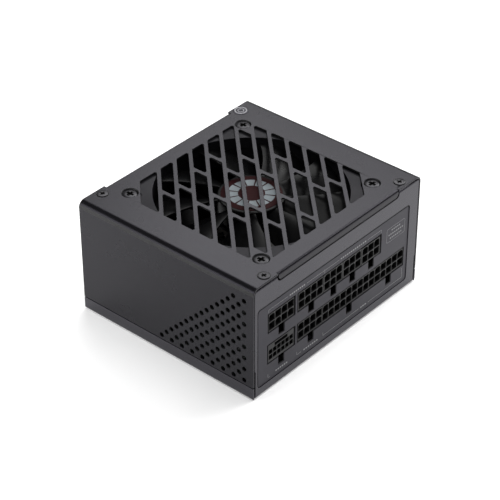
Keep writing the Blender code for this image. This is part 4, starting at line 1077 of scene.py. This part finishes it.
# -------- fan
def make_fan_frame():
    """The fan's frame: square shell, duct, screw pockets, spokes and motor base."""
    half = FAN_HALF
    outline = rounded(rectangle(-half, half, -half, half, FAN_CORNER), 8)
    shell = piece("fan_housing", drawn([outline], FAN_BOTTOM, FAN_TOP, "Z"), FRAME)
    duct = [
        (0, FAN_TOP + 1), (THROAT, FAN_TOP + 1), (THROAT, FAN_TOP - LIP),
        (THROAT + 0.3, FAN_TOP - LIP - 0.3), (THROAT + 0.3, FAN_BOTTOM - 1),
        (0, FAN_BOTTOM - 1),
    ]
    boolean(shell, [lathe(duct, 96)])
    boolean(shell, [rod(x, y, FAN_POCKET, 5.4, 2.0) for x, y in FAN_SCREWS])
    boolean(shell, [rod(x, y, FAN_BOTTOM - 1, 2.15, 18, sides=24) for x, y in FAN_SCREWS])
    arms = []
    for i in range(SPOKES):
        arm = block(14.0, 48.3, -1.8, 1.8, FAN_BOTTOM + 0.1, FAN_BOTTOM + 2.3)
        arms.append(turned(arm, (0, 0, 0), FIRST_SPOKE + 360.0 / SPOKES * i, "Z"))
    base = [
        (17.2, FAN_BOTTOM + 1.6), (17.2, FAN_BOTTOM + 0.1), (2.3, FAN_BOTTOM + 0.1),
        (2.3, FAN_BOTTOM + 1.2), (3.4, FAN_BOTTOM + 1.2), (3.4, FAN_BOTTOM + 9.0),
        (4.4, FAN_BOTTOM + 9.0), (4.4, FAN_BOTTOM + 1.6),
    ]
    boolean(shell, arms, "UNION")
    boolean(shell, [lathe(base, 48)], "UNION")
    eased(shell, 0.2)
    placed(shell, "case", "fan_plastic", "fan_frame")


def blade(turn):
    """A curved, slightly cupped blade from hub to tip, falling away behind its leading edge."""
    bm = bmesh.new()
    bmesh.ops.create_grid(bm, x_segments=14, y_segments=14, size=0.5)
    for vert in bm.verts:
        along = vert.co.x + 0.5
        back = vert.co.y + 0.5
        radius = HUB_RADIUS - 0.9 + along * (BLADE_TIP - HUB_RADIUS + 0.9)
        chord = 38.0 - 8.0 * along
        sweep = 8.0 * along**1.5
        angle = math.radians(turn + sweep - chord * back)
        height = 59.2 - 0.3 * along - (8.6 - 1.8 * along) * back**1.6
        vert.co = (radius * math.cos(angle) * MM, radius * math.sin(angle) * MM, height * MM)
    return bm


def make_rotor():
    """The hub cup and its blades."""
    profile = [
        (0, HUB_TOP), (HUB_RADIUS - 0.7, HUB_TOP), (HUB_RADIUS - 0.4, HUB_TOP - 0.07),
        (HUB_RADIUS - 0.15, HUB_TOP - 0.22), (HUB_RADIUS, HUB_TOP - 0.6),
        (HUB_RADIUS, FAN_BOTTOM + 2.8), (HUB_RADIUS - 1.3, FAN_BOTTOM + 2.8),
        (HUB_RADIUS - 1.3, HUB_TOP - 1.6), (2.8, HUB_TOP - 1.6), (2.8, HUB_TOP - 3.4),
        (1.3, HUB_TOP - 3.4), (1.3, HUB_TOP - 0.9), (0, HUB_TOP - 0.9),
    ]
    hub = smooth(piece("fan_hub", lathe(profile, 96), FAN), 40)
    placed(hub, "fan", "fan_plastic", "fan_rotor")
    wheel = joined([blade(FIRST_BLADE + 360.0 / BLADES * i) for i in range(BLADES)])
    blades = piece("fan_blades", wheel, FAN, recalc=False)
    thick = blades.modifiers.new("thickness", "SOLIDIFY")
    thick.thickness = BLADE_THICKNESS * MM
    thick.offset = 0.0
    bake(blades)
    eased(blades, 0.35, 3, 60)
    placed(blades, "fan", "fan_plastic")


def make_hub_sticker():
    """A round sticker, printed with a plain ring of blocks."""
    top = HUB_TOP + 0.22
    low = HUB_TOP + 0.05
    edge = STICKER_RADIUS
    disc = [(0, top), (edge - 0.12, top), (edge, top - 0.08), (edge, low), (0, low)]
    sticker = smooth(piece("hub_disc", lathe(disc, 96), MAROON))
    placed(sticker, "fan", "sticker", "fan_hub_sticker")
    marks = []
    step = 360.0 / STICKER_MARKS
    inner, outer = MARK_RADII
    for i in range(STICKER_MARKS):
        a0 = math.radians(i * step + MARK_GAP / 2)
        a1 = math.radians((i + 1) * step - MARK_GAP / 2)
        arc = [a0 + (a1 - a0) * k / 6 for k in range(7)]
        loop = [(outer * math.cos(a), outer * math.sin(a)) for a in arc]
        loop += [(inner * math.cos(a), inner * math.sin(a)) for a in reversed(arc)]
        marks.append(drawn([loop], top - 0.03, top + 0.03, "Z"))
    ink = piece("hub_ring_print", joined(marks), SILVER_INK)
    placed(ink, "fan", "sticker")


# -------- inlet and switch
def inlet_loop(half_w, half_h, cut, radius=0.0):
    return rounded(cut_rectangle(INLET_X, INLET_Z, half_w, half_h, cut, radius, radius), 4)


def make_inlet():
    """The mains inlet with its flange and its three blades."""
    outline = inlet_loop(13.6, 10.0, 4.7, 0.8)
    body = piece("mains_inlet", drawn([outline], 37.0, HALF_D + 0.6, "Y"), NYLON)
    flange = rectangle(INLET_X - 15.6, INLET_X + 15.6, INLET_Z - 12.0, INLET_Z + 12.0, 2.5)
    boolean(body, [drawn([rounded(flange, 8)], HALF_D + 0.15, HALF_D + 2.3, "Y")], "UNION")
    boolean(body, [drawn([inlet_loop(12.2, 8.4, 4.2, 1.0)], 39.0, HALF_D + 4, "Y")])
    slots = []
    for _, dx, dz in INLET_PINS:
        x, z = INLET_X + dx, INLET_Z + dz
        slots.append(block(x - 2.3, x + 2.3, 36.0, 41.0, z - 1.3, z + 1.3))
    boolean(body, slots)
    eased(body, 0.3, 3)
    placed(body, "case", "socket_plastic", "ac_inlet")
    tip = HALF_D - 0.5
    for name, dx, dz in INLET_PINS:
        x, z = INLET_X + dx, INLET_Z + dz
        outline = [(x - 2.0, 33.0), (x + 2.0, 33.0), (x + 2.0, tip, 0.8), (x - 2.0, tip, 0.8)]
        pin_body = drawn([rounded(outline, 6)], z - 1.0, z + 1.0, "Z")
        blade_pin = piece("inlet_blade_" + name, pin_body, STEEL)
        eased(blade_pin, 0.3, 3)
        placed(blade_pin, "case", "steel", "inlet_pin_" + name)


def make_switch():
    """The switch's housing, and its rocker with a line and a ring as marks."""
    x, z = SWITCH_X, SWITCH_Z
    shaft = rounded(rectangle(x - 6.5, x + 6.5, z - 9.5, z + 9.5))
    housing = piece("switch_body", drawn([shaft], 40.0, HALF_D + 0.6, "Y"), NYLON)
    bezel = rounded(rectangle(x - 7.6, x + 7.6, z - 10.6, z + 10.6, 1.2), 6)
    boolean(housing, [drawn([bezel], HALF_D + 0.15, HALF_D + 1.9, "Y")], "UNION")
    well = rounded(rectangle(x - 5.6, x + 5.6, z - 8.6, z + 8.6))
    boolean(housing, [drawn([well], 43.0, HALF_D + 4, "Y")])
    eased(housing, 0.25, 3)
    placed(housing, "case", "socket_plastic", "switch_housing")

    half = []
    for step in range(13):
        angle = math.radians(ROCKER_END - step * 5.0)
        half.append((ROCKER_REACH * math.sin(angle), ROCKER_REACH * math.cos(angle)))
    loop = [(ROCKER_DISH, 0.0)] + half + [(-7.4, 2.4), (-7.4, -2.4)]
    loop += [(y, -w) for y, w in reversed(half)]
    place = at(x, HALF_D - 1.0, z) @ spin(ROCKER_TILT, "X")
    key = piece("switch_key", changed(drawn([loop], -5.2, 5.2, "X"), place), CHIP)
    eased(key, 0.25, 3)
    placed(key, "rocker", "rocker_plastic", "switch_rocker")

    marks = []
    end_y, end_z = half[0]
    slope = math.atan2(ROCKER_DISH - end_y, end_z)
    middle = 5.0
    height = ROCKER_DISH - math.tan(slope) * middle
    for side, loops in (
        (1, [rounded(rectangle(-0.25, 0.25, -1.5, 1.5))]),
        (-1, [circle(0, 0, 1.55, 32), circle(0, 0, 1.1, 32)]),
    ):
        lay = place @ at(0, height, side * middle) @ Matrix.Rotation(-side * slope, 4, "X")
        marks.append(changed(drawn(loops, -0.03, 0.03, "Y"), lay))
    ink = piece("switch_marks", joined(marks), WHITE_INK)
    placed(ink, "rocker", "rocker_plastic")


# -------- what shows of the inside
KEPT = (
    (MAGNET, ("fan_magnet_ring",)),
    (STEEL, ("fan_shaft", "board_screw_1", "board_screw_2", "board_screw_3", "board_screw_4")),
    (BRASS, ("fan_bearing",)),
    (COPPER, ("fan_stator", "pfc_choke", "output_choke")),
    (WIRE, ("fan_lead",)),
    (WHITE_NYLON, ("fan_plug",)),
    (BOARD, ("socket_board", "main_board", "control_board")),
    (DARK_FILM, ("insulating_sheet",)),
    (FERRITE, ("transformer_core",)),
    (TAPE, ("transformer_winding",)),
    (TOROID, ("emi_choke",)),
    (SLEEVE, ("bulk_capacitor", "output_capacitor_1", "output_capacitor_2")),
    (BOX_CAP, ("x_capacitor",)),
    (CHIP, ("bridge_rectifier", "power_transistor", "output_rectifier", "relay")),
    (ALUMINIUM, ("primary_heatsink", "secondary_heatsink")),
)

make_cover()
make_tray()
make_print(make_label())
make_sockets()
make_screws()
make_seal()
make_fan_frame()
make_rotor()
make_hub_sticker()
make_inlet()
make_switch()
for material, names in KEPT:
    for name in names:
        for material_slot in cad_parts[name].material_slots:
            material_slot.material = material

# -------- camera, light and floor
AIM = (0.0, 0.0, 0.03)
CAMERA_PLACE = (-0.56953, -0.49064, 0.56308)
CAMERA_AIM = (0.0, 0.0, 0.03175)

floor_mesh = bpy.data.meshes.new("floor")
bm = bmesh.new()
bmesh.ops.create_circle(bm, cap_ends=True, segments=96, radius=6.0)
bm.to_mesh(floor_mesh)
bm.free()
floor = bpy.data.objects.new("floor", floor_mesh)
bpy.context.scene.collection.objects.link(floor)
floor.location.z = -0.0002
PALE = grained("floor_paper", (0.9, 0.9, 0.9), 0.7, grain=2.0, bump=0.02, patch=0.01, speck=0.005)
lit = PALE.node_tree.nodes["Principled BSDF"].inputs
lit["Emission Color"].default_value = (1.0, 1.0, 1.0, 1.0)
lit["Emission Strength"].default_value = 0.2
floor.data.materials.append(PALE)


def area_light(name, place, width, height, power, lean=None):
    """A softbox in metres and watts: it faces the object, or leans about Y from facing down."""
    light = bpy.data.lights.new(name, "AREA")
    light.shape = "RECTANGLE"
    light.size = width
    light.size_y = height
    light.energy = power
    obj = bpy.data.objects.new(name, light)
    bpy.context.scene.collection.objects.link(obj)
    obj.location = place
    if lean is None:
        direction = Vector(AIM) - obj.location
        obj.rotation_euler = direction.to_track_quat("-Z", "Y").to_euler()
    else:
        obj.rotation_euler = (0.0, math.radians(lean), 0.0)
    obj.visible_camera = False


area_light("rear_softbox", (0.755, 0.62, 1.058), 0.82, 0.84, 8.0, lean=35.5)
area_light("top_softbox", (-0.05, -0.17, 1.2), 1.0, 0.6, 8.5, lean=0)
area_light("right_softbox", (1.0, -0.2, 0.6), 0.9, 0.8, 13.0)
area_light("fill_softbox", (-0.75, -0.5, 1.15), 0.8, 0.8, 2.0)
area_light("left_panel", (-0.36, 0.24, 0.165), 0.33, 0.36, 1.2, lean=-84)

world = bpy.data.worlds.new("studio")
world.use_nodes = True
background = world.node_tree.nodes["Background"].inputs
background["Color"].default_value = (1.0, 1.0, 1.0, 1.0)
background["Strength"].default_value = 0.1
bpy.context.scene.world = world
bpy.context.scene.view_settings.view_transform = "Standard"

camera = bpy.data.objects.new("camera", bpy.data.cameras.new("camera"))
bpy.context.scene.collection.objects.link(camera)
camera.location = CAMERA_PLACE
view = Vector(CAMERA_AIM) - camera.location
camera.rotation_euler = view.to_track_quat("-Z", "Y").to_euler()
camera.data.lens = 135.28
camera.data.sensor_width = 36.0
camera.data.shift_x = -0.0031
camera.data.shift_y = -0.0164
camera.data.clip_start = 0.01
bpy.context.scene.camera = camera
